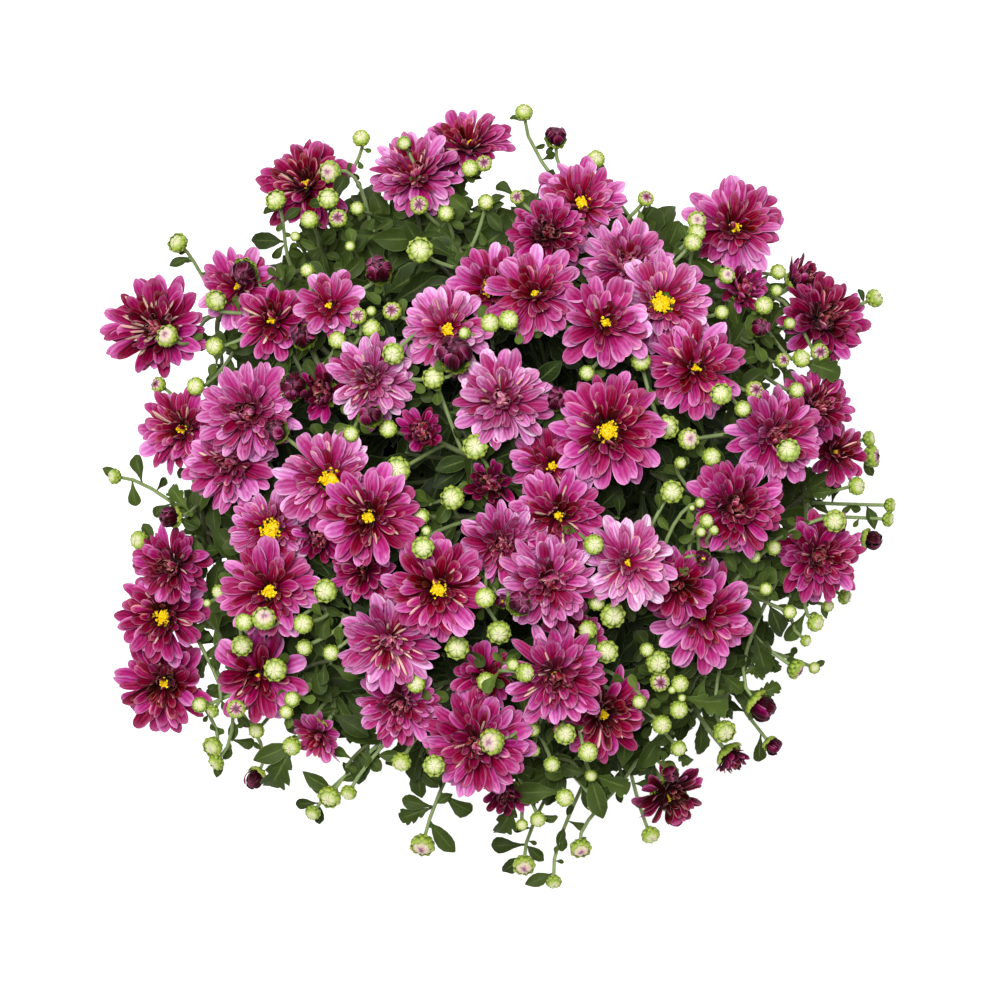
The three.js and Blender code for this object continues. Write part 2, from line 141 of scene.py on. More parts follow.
# %% List the heads
YOUTH_CURL = 1.6  # how many bends more upright the darkest florets are than the palest
HABITS = {  # florets, inner and outer lift in degrees, inner length, curl, breadth, calyx
    "double": (122, 76, 12, 0.36, -0.3, 1.0, 1.0),
    "eyed": (86, 58, 12, 0.36, -1.3, 1.1, 1.0),
    "loose": (50, 54, 16, 0.42, -0.6, 1.25, 1.0),
    "opening": (52, 84, 34, 0.60, 1.4, 1.15, 0.75),
}
HEADS = [  # number, plan x and y, plan width, level, lean or None, habit, tone, eye, cream
    (1, 467, 139, 92, 0, 36, "eyed", 0.54, 1.6, 0.25),
    (2, 415, 170, 93, -5, 28, "double", 0.62, 0.8, 0.40),
    (3, 304, 180, 102, 0, 20, "eyed", 0.46, 1.4, 0.20),
    (4, 582, 200, 92, -4, 18, "eyed", 0.62, 2.7, 0.20),
    (5, 548, 232, 80, 4, 10, "double", 0.44, 0.6, 0.15),
    (6, 737, 224, 105, 0, 14, "eyed", 0.59, 1.8, 0.20),
    (7, 628, 262, 96, -9, 16, "double", 0.64, 0.8, 0.20),
    (8, 492, 287, 86, -9, None, "loose", 0.58, 3.2, 0.10),
    (9, 535, 292, 98, 5, None, "eyed", 0.59, 1.2, 0.25),
    (10, 606, 322, 98, 9, None, "loose", 0.60, 1.6, 0.30),
    (11, 664, 301, 96, -1, None, "eyed", 0.69, 4.5, 0.15),
    (14, 825, 318, 97, 0, 14, "double", 0.43, 0.6, 0.20),
    (15, 235, 285, 84, -7, None, "loose", 0.60, 1.0, 0.10),
    (16, 155, 327, 110, 3, 8, "double", 0.48, 1.2, 0.80),
    (17, 270, 319, 80, -7, None, "loose", 0.50, 1.4, 0.40),
    (18, 328, 304, 76, 4, None, "loose", 0.64, 0.8, 0.10),
    (19, 447, 328, 88, -3, None, "eyed", 0.68, 2.4, 0.50),
    (20, 370, 378, 92, 1, None, "double", 0.71, 0.6, 0.60),
    (21, 502, 400, 97, 0, None, "double", 0.68, 0.8, 0.40),
    (22, 609, 430, 108, 7, None, "eyed", 0.52, 4.0, 0.35),
    (23, 697, 367, 102, 1, None, "eyed", 0.57, 1.4, 0.30),
    (24, 179, 428, 90, -4, 14, "eyed", 0.54, 1.6, 0.50),
    (25, 247, 412, 100, 8, None, "double", 0.60, 0.8, 0.10),
    (26, 228, 464, 96, 0, None, "double", 0.62, 0.6, 0.40),
    (27, 327, 480, 100, -2, None, "eyed", 0.68, 4.0, 0.05),
    (28, 368, 517, 100, 8, None, "eyed", 0.52, 2.2, 0.50),
    (30, 552, 466, 84, -12, None, "eyed", 0.60, 1.6, 0.30),
    (31, 558, 516, 92, -3, None, "eyed", 0.54, 1.6, 0.25),
    (32, 503, 544, 88, -6, None, "double", 0.60, 0.0, 0.20),
    (33, 549, 583, 96, 7, None, "double", 0.62, 0.8, 0.15),
    (34, 437, 590, 100, 7, None, "eyed", 0.54, 3.2, 0.35),
    (35, 629, 564, 95, 9, None, "eyed", 0.73, 1.0, 0.15),
    (36, 738, 507, 97, 5, None, "double", 0.50, 0.8, 0.20),
    (37, 778, 435, 97, 7, None, "double", 0.57, 0.8, 0.15),
    (38, 820, 405, 80, -9, 24, "double", 0.50, 0.6, 0.20),
    (39, 840, 452, 72, -11, 26, "loose", 0.50, 0.6, 0.20),
    (40, 820, 556, 96, 0, 12, "double", 0.48, 0.8, 0.20),
    (41, 704, 617, 108, -8, None, "eyed", 0.58, 1.0, 0.25),
    (42, 680, 585, 80, 1, None, "loose", 0.50, 0.8, 0.10),
    (43, 556, 677, 100, 9, None, "double", 0.56, 1.0, 0.35),
    (44, 478, 745, 110, 5, 8, "double", 0.54, 1.0, 0.15),
    (45, 400, 705, 86, -7, None, "double", 0.56, 0.6, 0.20),
    (46, 387, 641, 100, 0, None, "double", 0.64, 0.4, 0.80),
    (47, 267, 592, 100, 4, None, "eyed", 0.58, 2.8, 0.20),
    (48, 268, 531, 80, -8, None, "eyed", 0.66, 4.2, 0.10),
    (51, 170, 566, 85, -9, None, "double", 0.46, 0.6, 0.20),
    (52, 160, 617, 96, 0, 14, "eyed", 0.52, 3.0, 0.30),
    (53, 162, 684, 104, 0, 10, "eyed", 0.48, 1.6, 0.25),
    (54, 256, 677, 98, -5, None, "loose", 0.52, 0.6, 0.20),
    (55, 315, 741, 66, -16, 46, "loose", 0.58, 0.4, 0.10),
    (56, 605, 717, 94, -5, 20, "eyed", 0.46, 2.0, 0.50),
    (57, 673, 800, 80, -4, 40, "loose", 0.36, 1.6, 0.15),
]
UNDER_HEADS = [  # half-open and half-hidden heads, which stand between and under the others
    (12, 745, 287, 62, -8, None, "opening", 0.50, 0.6, 0.10),
    (13, 804, 277, 70, -3, 56, "opening", 0.36, 0.6, 0.20),
    (29, 421, 432, 56, -2, None, "opening", 0.44, 0.0, 0.10),
    (49, 318, 537, 62, -10, None, "opening", 0.44, 0.0, 0.10),
    (50, 362, 572, 66, -12, None, "loose", 0.48, 0.0, 0.10),
    (58, 737, 763, 46, -6, 70, "opening", 0.30, 0.6, 0.10),
    (59, 484, 677, 70, -14, None, "loose", 0.50, 0.6, 0.10),
    (60, 575, 632, 66, -10, None, "loose", 0.52, 0.0, 0.10),
    (61, 322, 392, 66, -12, None, "opening", 0.40, 0.6, 0.30),
    (64, 492, 483, 62, -8, None, "opening", 0.36, 0.0, 0.10),
    (66, 505, 797, 56, -18, 34, "opening", 0.36, 0.0, 0.10),
]


def head_at(entry):
    number, plan_x, plan_y, width, level, own_lean, habit, tone, eye_radius, cream = entry
    eye = on_dome(plan_x, plan_y, level)
    lean = LEAN_SHARE * dome_slope(flat_reach(eye)) if own_lean is None else own_lean
    axis = facing(eye, lean)
    return {
        "number": number, "eye": eye, "radius": width / 2 * PLAN_UNIT, "axis": axis,
        "base": eye - axis * EYE_HEIGHT, "cutting": cutting_of(eye), "habit": habit,
        "tone": tone, "eye_radius": eye_radius, "cream": cream,
    }


heads = [head_at(entry) for entry in HEADS]
under_heads = [head_at(entry) for entry in UNDER_HEADS]


def centre_miss(head):
    """How far a head's own frame node lies from the place worked out here, in millimetres."""
    low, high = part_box(f"flower_head_{head['number']:02d}")
    middle = head["base"] + head["axis"] * EYE_HEIGHT / 2
    return ((low + high) / 2 / MM - middle).xy.length


print(len(heads), "heads, furthest from its node", round(max(map(centre_miss, heads)), 2), "mm")

# %% [markdown]
# ## The buds
# Buds are at four stages: g, a closed green button with a cream top; c, one whose top is
# cream with a pink centre; p, one whose florets show a pink tip; and d, a dark crimson ball
# about to open. The ones round the edge stand clear and can be seen from the side, so they
# carry a lean, and for some a level. The others find their height from what is under them.

# %% List the buds
EDGE_BUDS = [  # plan x and y, plan radius, lean, level, stage
    (524, 111, 9, 30, 0, "g"), (556, 136, 11, 34, 0, "d"), (361, 137, 9, 24, 0, "g"),
    (275, 199, 10, 26, 16, "g"), (177, 242, 10, 40, 0, "g"), (646, 198, 8, 24, 0, "p"),
    (697, 232, 9, 20, 0, "g"), (779, 271, 8, 20, 0, "g"), (876, 297, 9.5, 50, 0, "g"),
    (871, 438, 8, 60, 0, "g"), (874, 456, 11, 64, 0, "p"), (858, 486, 9, 34, 14, "g"),
    (892, 505, 7.5, 66, 0, "g"), (890, 519, 7.5, 60, 0, "g"), (872, 539, 11, 66, 0, "d"),
    (847, 597, 8, 50, 0, "g"), (817, 623, 9, 34, 0, "g"), (807, 641, 6, 44, 0, "g"),
    (798, 670, 10, 74, 0, "p"), (762, 707, 14, 70, 0, "d"), (773, 746, 9, 60, 0, "d"),
    (725, 732, 11, 30, 0, "g"), (651, 836, 9.5, 40, 0, "g"), (581, 850, 10.5, 42, 0, "c"),
    (554, 883, 8, 44, 0, "g"), (524, 866, 11, 36, 0, "c"), (422, 847, 12, 44, 0, "c"),
    (312, 814, 8, 40, 0, "g"), (329, 798, 11, 34, 0, "g"), (348, 794, 8, 40, 0, "g"),
    (255, 778, 11, 56, 0, "d"), (212, 747, 10, 34, 0, "g"), (215, 763, 8.5, 52, 0, "g"),
    (211, 712, 7, 56, 0, "g"), (291, 747, 9.5, 30, 0, "g"), (401, 763, 9.5, 30, 0, "g"),
    (113, 476, 8, 48, 0, "g"), (157, 384, 8, 40, 0, "p"), (170, 517, 11, 56, 0, "d"),
    (137, 540, 9.5, 30, 0, "g"),
]
INNER_BUDS = [  # plan x and y, plan radius, stage
    (329, 171, 11, "c"), (328, 198, 10, "g"), (309, 219, 9, "g"), (338, 218, 9, "p"),
    (295, 236, 5, "g"), (307, 270, 7, "g"), (216, 300, 10, "g"), (214, 346, 9, "g"),
    (166, 335, 11, "c"), (243, 272, 13, "d"), (404, 143, 7, "g"), (357, 208, 7, "g"),
    (350, 246, 5, "g"), (378, 270, 14, "d"), (303, 336, 13, "d"), (337, 340, 8.5, "g"),
    (371, 328, 9, "g"), (358, 316, 8, "p"), (371, 311, 5, "g"), (392, 311, 9, "p"),
    (393, 354, 10, "g"), (470, 168, 8.5, "g"), (484, 163, 8, "p"), (517, 197, 7, "p"),
    (419, 205, 9, "p"), (446, 213, 8, "g"), (486, 202, 8, "g"), (420, 250, 12, "g"),
    (490, 323, 9.5, "g"), (509, 320, 9.5, "g"), (464, 333, 6, "g"), (433, 378, 10, "g"),
    (455, 354, 17, "d"), (596, 158, 9, "g"), (697, 220, 9, "c"), (693, 242, 9, "g"),
    (727, 275, 8, "c"), (764, 305, 9, "g"), (777, 290, 6, "g"), (790, 323, 6, "g"),
    (760, 327, 10, "d"), (722, 312, 7, "g"), (641, 361, 9.5, "g"), (587, 373, 7.5, "g"),
    (802, 358, 9, "g"), (820, 352, 9, "p"), (783, 360, 7, "p"), (797, 390, 8, "g"),
    (755, 390, 9, "p"), (721, 394, 10, "g"), (743, 409, 8, "g"), (788, 450, 11, "g"),
    (689, 439, 10, "c"), (712, 457, 9, "g"), (681, 463, 6, "g"), (667, 427, 11, "g"),
    (672, 492, 10.5, "g"), (195, 386, 9, "g"), (276, 431, 12, "d"), (294, 387, 14, "d"),
    (351, 434, 8, "g"), (207, 603, 4, "g"), (218, 592, 7, "g"), (325, 591, 11, "g"),
    (244, 622, 8.5, "g"), (264, 618, 11, "c"), (303, 624, 9.5, "g"), (242, 646, 10, "g"),
    (304, 648, 8, "g"), (331, 653, 8, "g"), (275, 670, 11, "g"), (199, 705, 8, "g"),
    (236, 709, 9, "p"), (292, 699, 8, "g"), (286, 712, 7, "g"), (256, 731, 8, "g"),
    (370, 414, 12.5, "d"), (388, 429, 8.5, "g"), (475, 447, 11.5, "g"), (397, 470, 12, "g"),
    (452, 498, 11, "g"), (421, 517, 8, "g"), (426, 531, 5, "g"), (423, 548, 10, "g"),
    (557, 399, 12, "d"), (594, 545, 9.5, "g"), (485, 598, 9.5, "g"), (520, 603, 12, "d"),
    (502, 601, 8, "d"), (499, 633, 11, "g"), (457, 648, 11, "g"), (597, 603, 8, "g"),
    (613, 616, 11.5, "g"), (587, 630, 9, "g"), (607, 652, 10.5, "g"), (416, 684, 9, "g"),
    (513, 665, 6, "g"), (526, 673, 9, "g"), (486, 682, 9, "g"), (491, 742, 12, "c"),
    (565, 734, 10, "g"), (588, 752, 9.5, "g"), (434, 766, 10, "g"), (534, 751, 6, "g"),
    (533, 730, 7, "g"), (552, 765, 8, "g"), (591, 776, 6, "g"), (565, 798, 9, "g"),
    (596, 806, 8, "g"), (538, 820, 8, "g"), (522, 825, 6, "g"), (700, 503, 5, "g"),
    (692, 508, 3, "g"), (707, 521, 7, "g"), (714, 530, 5, "g"), (701, 532, 5, "g"),
    (835, 521, 10.5, "g"), (774, 548, 7.5, "g"), (755, 557, 6, "g"), (766, 589, 6.5, "g"),
    (790, 612, 7, "g"), (829, 606, 6, "g"), (815, 668, 6, "g"),
    (703, 558, 8, "d"), (647, 650, 7, "g"), (658, 663, 11, "g"), (660, 682, 9.5, "p"),
    (680, 684, 8.5, "g"), (672, 690, 4, "g"), (679, 710, 9, "g"), (682, 698, 4, "g"),
    (639, 702, 7, "g"), (662, 725, 9.5, "g"), (679, 749, 8, "g"), (671, 774, 9, "d"),
]
STAGES = "gcpd"
BUD_SINK, BUD_LEAN = 3, 22
RIM_SHARE, FACE_SINK, FACE_RISE = 0.95, 4, 0.25  # where a head's face ends, and how it is dished
BUD_STAND, RIM_FADE = 1.7, 2.5  # the height of a bud in radii, and how soon it tips less
OVER_LEAN, OVER_ARRIVAL, OVER_LIFT = 30, 74, 2.5


def edge_bud(entry):
    plan_x, plan_y, plan_radius, lean, level, stage = entry
    radius = plan_radius * PLAN_UNIT
    top = on_dome(plan_x, plan_y, level)
    axis = facing(top, lean)
    return {"radius": radius, "axis": axis, "arriving": axis, "base": top - axis * radius,
            "stage": STAGES.index(stage), "cutting": cutting_of(top)}


def tipped_in(away, angle):
    tip = math.radians(angle)
    return Vector((0, 0, math.cos(tip))) - away.normalized() * math.sin(tip)


def inner_bud(entry, chance):
    """A bud stands just above the head under it, or a little down between two heads."""
    plan_x, plan_y, plan_radius, stage = entry
    radius = plan_radius * PLAN_UNIT
    top = on_dome(plan_x, plan_y, -BUD_SINK)
    axis = arriving = facing(top, chance.uniform(0, BUD_LEAN))
    over = None
    for head in heads + under_heads:
        away = Vector((top.x - head["eye"].x, top.y - head["eye"].y, 0))
        rim = head["radius"] * RIM_SHARE
        if away.length > rim:
            continue
        face = head["eye"].z - FACE_SINK + FACE_RISE * away.length
        face -= away.dot(head["axis"]) / head["axis"].z
        clear = face + BUD_STAND * radius + OVER_LIFT
        if clear > top.z:
            top = on_dome(plan_x, plan_y, clear - dome_height(flat_reach(top)))
            share = min(1, RIM_FADE - RIM_FADE * away.length / rim)
            axis, arriving = tipped_in(away, OVER_LEAN * share), tipped_in(away, OVER_ARRIVAL * share)
            over = head
    return {"radius": radius, "axis": axis, "arriving": arriving, "base": top - axis * radius,
            "stage": STAGES.index(stage), "cutting": cutting_of(top), "over": over}


bud_chance = random.Random(SEED)
edge_buds = [edge_bud(entry) for entry in EDGE_BUDS]
inner_buds = [inner_bud(entry, bud_chance) for entry in INNER_BUDS]
print(len(edge_buds), "edge buds and", len(inner_buds), "inner buds")

# %% [markdown]
# ## The framework of stems
# A rooted cutting is pinched once, and breaks into shoots that each end in a head. A shoot
# leaves its bearer at a steady angle and bends up into the head's neck. The head nearest
# the main stem is fed first, and each later shoot breaks from the cheapest point of what
# has grown already, as a gardener would train it. Bud stalks break from the shoots.

# %% Grow the framework
LEAST_SHOOT, LEAST_STALK = (24, 42), (6, 20)  # the least drop and the least reach
EDGE_HOLD, INNER_HOLD = 0.5, 0.25  # how far a stalk reaches into its bud, in radii
SIDEWAYS_COST, INWARD_COST, STRAY_REACH = 0.8, 0.8, 60


def curve_point(curve, t):
    a, b, c, d = curve
    s = 1 - t
    return a * s**3 + b * (3 * s * s * t) + c * (3 * s * t * t) + d * t**3


def curve_tangent(curve, t):
    a, b, c, d = curve
    s = 1 - t
    return ((b - a) * (s * s) + (c - b) * (2 * s * t) + (d - c) * (t * t)).normalized()


def main_stem(cutting):
    bearing = math.radians(FIRST_BEARING + 360 / CUTTINGS * cutting)
    ring, lean = (0, 0) if cutting == CUTTINGS else (CUTTING_RING, MAIN_LEAN)
    out = Vector((math.cos(bearing), math.sin(bearing), 0))
    foot = out * ring + Vector((0, 0, MIX_TOP + MIX_CROWN - ROOT_DEPTH))
    top = out * (ring + lean) + Vector((0, 0, MIX_TOP + MAIN_HEIGHT))
    middle = (foot + top) / 2 - out * (lean / 4)
    return foot, foot + (middle - foot) * 2 / 3, top + (middle - top) * 2 / 3, top


def stem_to(start, leaving, end, arriving):
    span = (end - start).length
    return start, start + leaving * (START_SHARE * span), end - arriving * (END_SHARE * span), end


def break_cost(start, way_back, goal, taken, least):
    drop, reach = goal.z - start.z, (goal - start).length
    flat = max(0, least[0] - drop) * FLAT_COST
    short = max(0, least[1] - reach) * SHORT_COST
    crowded = CROWD_COST if any((point - start).length < BREAK_ROOM for point in taken) else 0
    return reach + DETOUR_SHARE * way_back + flat + short + crowded


def break_points(stem):
    first, last = stem["breaks"]
    steps = round((last - first) / BREAK_STEP)
    return [first + BREAK_STEP * step for step in range(steps + 1)]


def no_stray(start):
    return 0


def stray_cost(bud):
    """A stalk leads outward, and comes from beside a head that its bud hovers over."""
    end, head = bud["base"].xy, bud["over"]
    out = end.normalized() * min(1, end.length / STRAY_REACH)

    def cost(start):
        way = end - start.xy
        stray = SIDEWAYS_COST * abs(way.cross(out)) + INWARD_COST * max(0, -way.dot(out))
        under = max(0, head["radius"] - (start - head["eye"]).xy.length) if head else 0
        return stray + UNDER_COST * under

    return cost


def grow(stems, taken, end, arriving, least, stray=no_stray):
    """A new stem from the cheapest break, bending away from its bearer towards its end."""
    options = []
    for stem in stems:
        for t in break_points(stem):
            start = curve_point(stem["curve"], t)
            way_back = stem["way_back"] + t * stem["span"]
            cost = break_cost(start, way_back, end, taken, least) + stray(start)
            options.append((cost, len(options), start, way_back, curve_tangent(stem["curve"], t)))
    _, _, start, way_back, tangent = min(options)
    towards = end - start
    aside = (towards - tangent * towards.dot(tangent)).normalized()
    angle = math.radians(BREAK_ANGLE)
    leaving = tangent * math.cos(angle) + aside * math.sin(angle)
    taken.append(start)
    curve = stem_to(start, leaving, end, arriving)
    return {"curve": curve, "way_back": way_back, "span": towards.length, "breaks": SHOOT_BREAKS}


def framework(cutting):
    curve = main_stem(cutting)
    stems = [{"curve": curve, "way_back": 0, "span": MAIN_HEIGHT, "breaks": MAIN_BREAKS}]
    taken = []

    def feed(group):
        fed = [head for head in group if head["cutting"] == cutting]
        for head in sorted(fed, key=lambda head: (head["base"] - curve[3]).length):
            end = head["base"] - head["axis"] * GAP
            stems.append(grow(stems, taken, end, head["axis"], LEAST_SHOOT))

    feed(heads)
    stalks = []
    shoots = stems[1:]
    for bud in (bud for bud in edge_buds if bud["cutting"] == cutting):
        end = bud["base"] + bud["axis"] * (bud["radius"] * EDGE_HOLD)
        stalks.append(grow(shoots, taken, end, bud["axis"], LEAST_STALK))
    feed(under_heads)
    for bud in (bud for bud in inner_buds if bud["cutting"] == cutting):
        end = bud["base"] + bud["axis"] * (bud["radius"] * INNER_HOLD)
        stray = stray_cost(bud)
        stalks.append(grow(stems[1:], taken, end, bud["arriving"], LEAST_STALK, stray))
    return {"main": stems[:1], "shoots": stems[1:], "stalks": stalks}


frameworks = [framework(cutting) for cutting in range(CUTTINGS + 1)]
print(sum(len(each["shoots"]) for each in frameworks), "shoots and",
      sum(len(each["stalks"]) for each in frameworks), "bud stalks")

# %% [markdown]
# ## Leafy shoots without flowers
# Most shoots of a real plant never reach the light. Blind ones stop a little under the heads
# and fill the dome with leaves. Low ones leave the main stems and arch out over the rim of
# the pot. Neither bears a bud, and both end in a tuft of leaves.

# %% Grow the leafy shoots
BLIND_LAYERS = (  # shoots, least and greatest reach, least and greatest depth under the dome
    (104, 0, 150, 18, 52), (84, 66, 128, 46, 92))
SIDE_SHOOTS, SIDE_REACH, SIDE_RISE, SIDE_STEP = 8, (86, 122), (160, 184), 32
LEAST_LEAFY, LEAFY_PITCH, BLIND_LEAN_SHARE = (4, 30), 10, 0.6


def blind_goals(chance):
    """Places evenly spread under the dome, with the way that each shoot arrives there."""
    for count, inside, outside, shallow, deep in BLIND_LAYERS:
        for order in range(count):
            reach = math.sqrt(inside**2 + (outside**2 - inside**2) * (order + 0.5) / count)
            bearing = order * GOLDEN_ANGLE
            place = Vector((reach * math.cos(bearing), reach * math.sin(bearing), 0))
            place.z = dome_height(reach) - chance.uniform(shallow, deep)
            yield place, facing(place, BLIND_LEAN_SHARE * dome_slope(reach))


def side_goals(cutting, chance):
    for order in range(SIDE_SHOOTS):
        spread = (order + 0.5) / SIDE_SHOOTS - 0.5
        bearing = math.radians(FIRST_BEARING + 360 / CUTTINGS * (cutting + spread))
        out = Vector((math.cos(bearing), math.sin(bearing), 0))
        rise = chance.uniform(*SIDE_RISE) + order % 2 * SIDE_STEP
        pitch = math.radians(LEAFY_PITCH)
        arriving = out * math.cos(pitch) + Vector((0, 0, math.sin(pitch)))
        yield out * chance.uniform(*SIDE_REACH) + Vector((0, 0, rise)), arriving


leafy_chance = random.Random(SEED + 1)
blind = list(blind_goals(leafy_chance))
for cutting, each in enumerate(frameworks):
    goals = [goal for goal in blind if cutting_of(goal[0]) == cutting]
    if cutting < CUTTINGS:
        goals += list(side_goals(cutting, leafy_chance))
    taken = []
    bearers = each["main"] + each["shoots"]
    each["leafy"] = [grow(bearers, taken, end, arriving, LEAST_LEAFY) for end, arriving in goals]
print(sum(len(each["leafy"]) for each in frameworks), "leafy shoots")

# %% [markdown]
# ## A small language for node trees
# Node trees are long to write out socket by socket. A Field is a value that flows through a
# tree, and sums and products of fields become Math nodes by themselves. It knows its tree, so
# a helper that is given a field adds its nodes there. It serves Geometry Nodes and materials
# alike. A finished tree is run on a mesh, and what it gives is a plain mesh again.


# %% Write the Field helper
class Field:
    """A value or a geometry on its way through a node tree."""

    def __init__(self, tree, socket):
        self.tree, self.socket = tree, socket

    def __add__(self, other):
        return calculate(self.tree, "ADD", self, other)

    def __sub__(self, other):
        return calculate(self.tree, "SUBTRACT", self, other)

    def __rsub__(self, other):
        return calculate(self.tree, "SUBTRACT", other, self)

    def __mul__(self, other):
        return calculate(self.tree, "MULTIPLY", self, other)

    def __truediv__(self, other):
        return calculate(self.tree, "DIVIDE", self, other)

    def __pow__(self, other):
        return calculate(self.tree, "POWER", self, other)

    __radd__, __rmul__ = __add__, __mul__

    def clamped(self, low=0.0, high=1.0):
        raised = calculate(self.tree, "MAXIMUM", self, low)
        return calculate(self.tree, "MINIMUM", raised, high)


def plug(tree, value, slot):
    """Joins a field to a slot of a node, or sets the slot to a plain value."""
    if isinstance(value, Field):
        tree.links.new(value.socket, slot)
    else:
        slot.default_value = value


def made(tree, kind, inputs=None, output=0, **settings):
    """What a new node gives at an output, from its settings and its inputs."""
    node = tree.nodes.new(kind)
    for key, value in settings.items():
        setattr(node, key, value)
    for key, value in (inputs or {}).items():
        plug(tree, value, node.inputs[key])
    return Field(tree, node.outputs[output])


def calculate(tree, operation, *values):
    return made(tree, "ShaderNodeMath", dict(enumerate(values)), operation=operation)


def vector_of(tree, x=0.0, y=0.0, z=0.0):
    return made(tree, "ShaderNodeCombineXYZ", {0: x, 1: y, 2: z})


def blend(ends, share):
    """What lies between two numbers or two fields at a share of the way."""
    return ends[0] + (ends[1] - ends[0]) * share


def ramp(value, low, high, out_low=0.0, out_high=1.0):
    """A value taken from one range to another, with soft ends."""
    inputs = {0: value, 1: low, 2: high, 3: out_low, 4: out_high}
    return made(value.tree, "ShaderNodeMapRange", inputs, interpolation_type="SMOOTHSTEP")


# %% Write the helpers for Geometry Nodes
def new_tree(name, measures=(), counts=("Seed",)):
    """A geometry tree with named inputs, and the fields that its inputs give."""
    tree = bpy.data.node_groups.new(name, "GeometryNodeTree")
    tree.interface.new_socket("Geometry", in_out="OUTPUT", socket_type="NodeSocketGeometry")
    for kind, labels in (("Geometry", ("Geometry",)), ("Float", measures), ("Int", counts)):
        for label in labels:
            tree.interface.new_socket(label, in_out="INPUT", socket_type=f"NodeSocket{kind}")
    source = tree.nodes.new("NodeGroupInput")
    return tree, {socket.name: Field(tree, socket) for socket in source.outputs if socket.name}


def index_field(tree):
    return made(tree, "GeometryNodeInputIndex")


def place_fields(tree):
    """The x, y and z of every point."""
    inputs = {0: made(tree, "GeometryNodeInputPosition")}
    x = made(tree, "ShaderNodeSeparateXYZ", inputs)
    return [Field(tree, socket) for socket in x.socket.node.outputs]


def random_field(tree, low, high, seed):
    inputs = {2: low, 3: high, 8: seed}
    return made(tree, "FunctionNodeRandomValue", inputs, output=1, data_type="FLOAT")


def either_way(tree, play, seed):
    """A random value from minus to plus the play."""
    return random_field(tree, -play, play, seed)


def store(geometry, name, value):
    inputs, settings = {"Geometry": geometry, "Name": name, "Value": value}, {"domain": "POINT"}
    return made(geometry.tree, "GeometryNodeStoreNamedAttribute", inputs, **settings)


def named(tree, name, kind="FLOAT"):
    return made(tree, "GeometryNodeInputNamedAttribute", {"Name": name}, data_type=kind)


def whole(value):
    return made(value.tree, "FunctionNodeFloatToInt", {0: value}, rounding_mode="FLOOR")


def on_circle(reach, azimuth, height):
    """A place by its reach from the axis, its bearing and its height."""
    x, y = (reach * calculate(azimuth.tree, way, azimuth) for way in ("COSINE", "SINE"))
    return vector_of(azimuth.tree, x, y, height)


def euler_rotation(tree, x=0.0, y=0.0, z=0.0):
    return made(tree, "FunctionNodeEulerToRotation", {0: vector_of(tree, x, y, z)})


def aimed(lift, azimuth):
    """The turn that points a form outward on its bearing, and lifts its tip."""
    return euler_rotation(azimuth.tree, lift, 0.0, azimuth - math.pi / 2)


def turned_by(aim, roll=0.0, spin=0.0):
    """An aim turned about the form's own length, and about its own upright."""
    inputs = {0: aim, 1: euler_rotation(aim.tree, 0.0, roll, spin)}
    return made(aim.tree, "FunctionNodeRotateRotation", inputs, rotation_space="LOCAL")


def points_at(count, place):
    return made(place.tree, "GeometryNodePoints", {"Count": count, "Position": place})


def copies(points, forms, aim, scale, pick=0):
    """The meshes of a collection on points, picked by their order in it. One scale or three."""
    tree = points.tree
    inputs = {"Collection": forms, "Separate Children": True, "Reset Children": True}
    source = made(tree, "GeometryNodeCollectionInfo", inputs)
    scales = scale if isinstance(scale, tuple) else (scale, scale, scale)
    inputs = {"Points": points, "Instance": source, "Pick Instance": True, "Instance Index": pick,
              "Rotation": aim, "Scale": vector_of(tree, *scales)}
    return made(tree, "GeometryNodeInstanceOnPoints", inputs)


def realized(geometry):
    return made(geometry.tree, "GeometryNodeRealizeInstances", {"Geometry": geometry})


def with_material(geometry, material, chosen=True):
    """The end of each strand: instances made real, with a material."""
    inputs = {"Geometry": realized(geometry), "Selection": chosen, "Material": material}
    return made(geometry.tree, "GeometryNodeSetMaterial", inputs)


def close_tree(tree, *strands):
    join = tree.nodes.new("GeometryNodeJoinGeometry")
    for strand in reversed(strands):
        plug(tree, strand, join.inputs[0])
    end = tree.nodes.new("NodeGroupOutput")
    tree.links.new(join.outputs[0], end.inputs[0])
    return tree


def run_tree(tree, name, values, base):
    """Evaluates a tree on a mesh and returns the plain mesh that it makes."""
    holder = set_out(name, base)
    modifier = holder.modifiers.new(name, "NODES")
    modifier.node_group = tree
    for item in tree.interface.items_tree:
        if item.in_out == "INPUT" and item.name in values:
            modifier[item.identifier] = values[item.name]
    depsgraph = bpy.context.evaluated_depsgraph_get()
    seen = holder.evaluated_get(depsgraph)
    mesh = bpy.data.meshes.new_from_object(seen, preserve_all_data_layers=True, depsgraph=depsgraph)
    bpy.data.objects.remove(holder)
    return mesh


# %% Write the helpers for meshes and pieces
def set_out(name, data):
    """A new object, standing in the scene."""
    thing = bpy.data.objects.new(name, data)
    bpy.context.scene.collection.objects.link(thing)
    return thing


def new_mesh(name, corners, edges=(), faces=(), **marks):
    """A mesh from its corners, with numbers marked on them, one for each."""
    mesh = bpy.data.meshes.new(name)
    mesh.from_pydata(corners, edges, faces)
    for label, values in marks.items():
        mesh.attributes.new(label, "FLOAT", "POINT").data.foreach_set("value", values)
    return mesh


def mark(mesh, name, value):
    """Gives a mesh one more mark, the same all over it."""
    values = [float(value)] * len(mesh.vertices)
    mesh.attributes.new(name, "FLOAT", "POINT").data.foreach_set("value", values)
    return mesh


def joined(meshes):
    """Several meshes as one, with their materials and marks kept."""
    if len(meshes) == 1:
        return meshes[0]
    parts = [set_out("part", mesh) for mesh in meshes]
    with bpy.context.temp_override(active_object=parts[0], selected_editable_objects=parts):
        bpy.ops.object.join()
    mesh = parts[0].data
    bpy.data.objects.remove(parts[0])
    return mesh


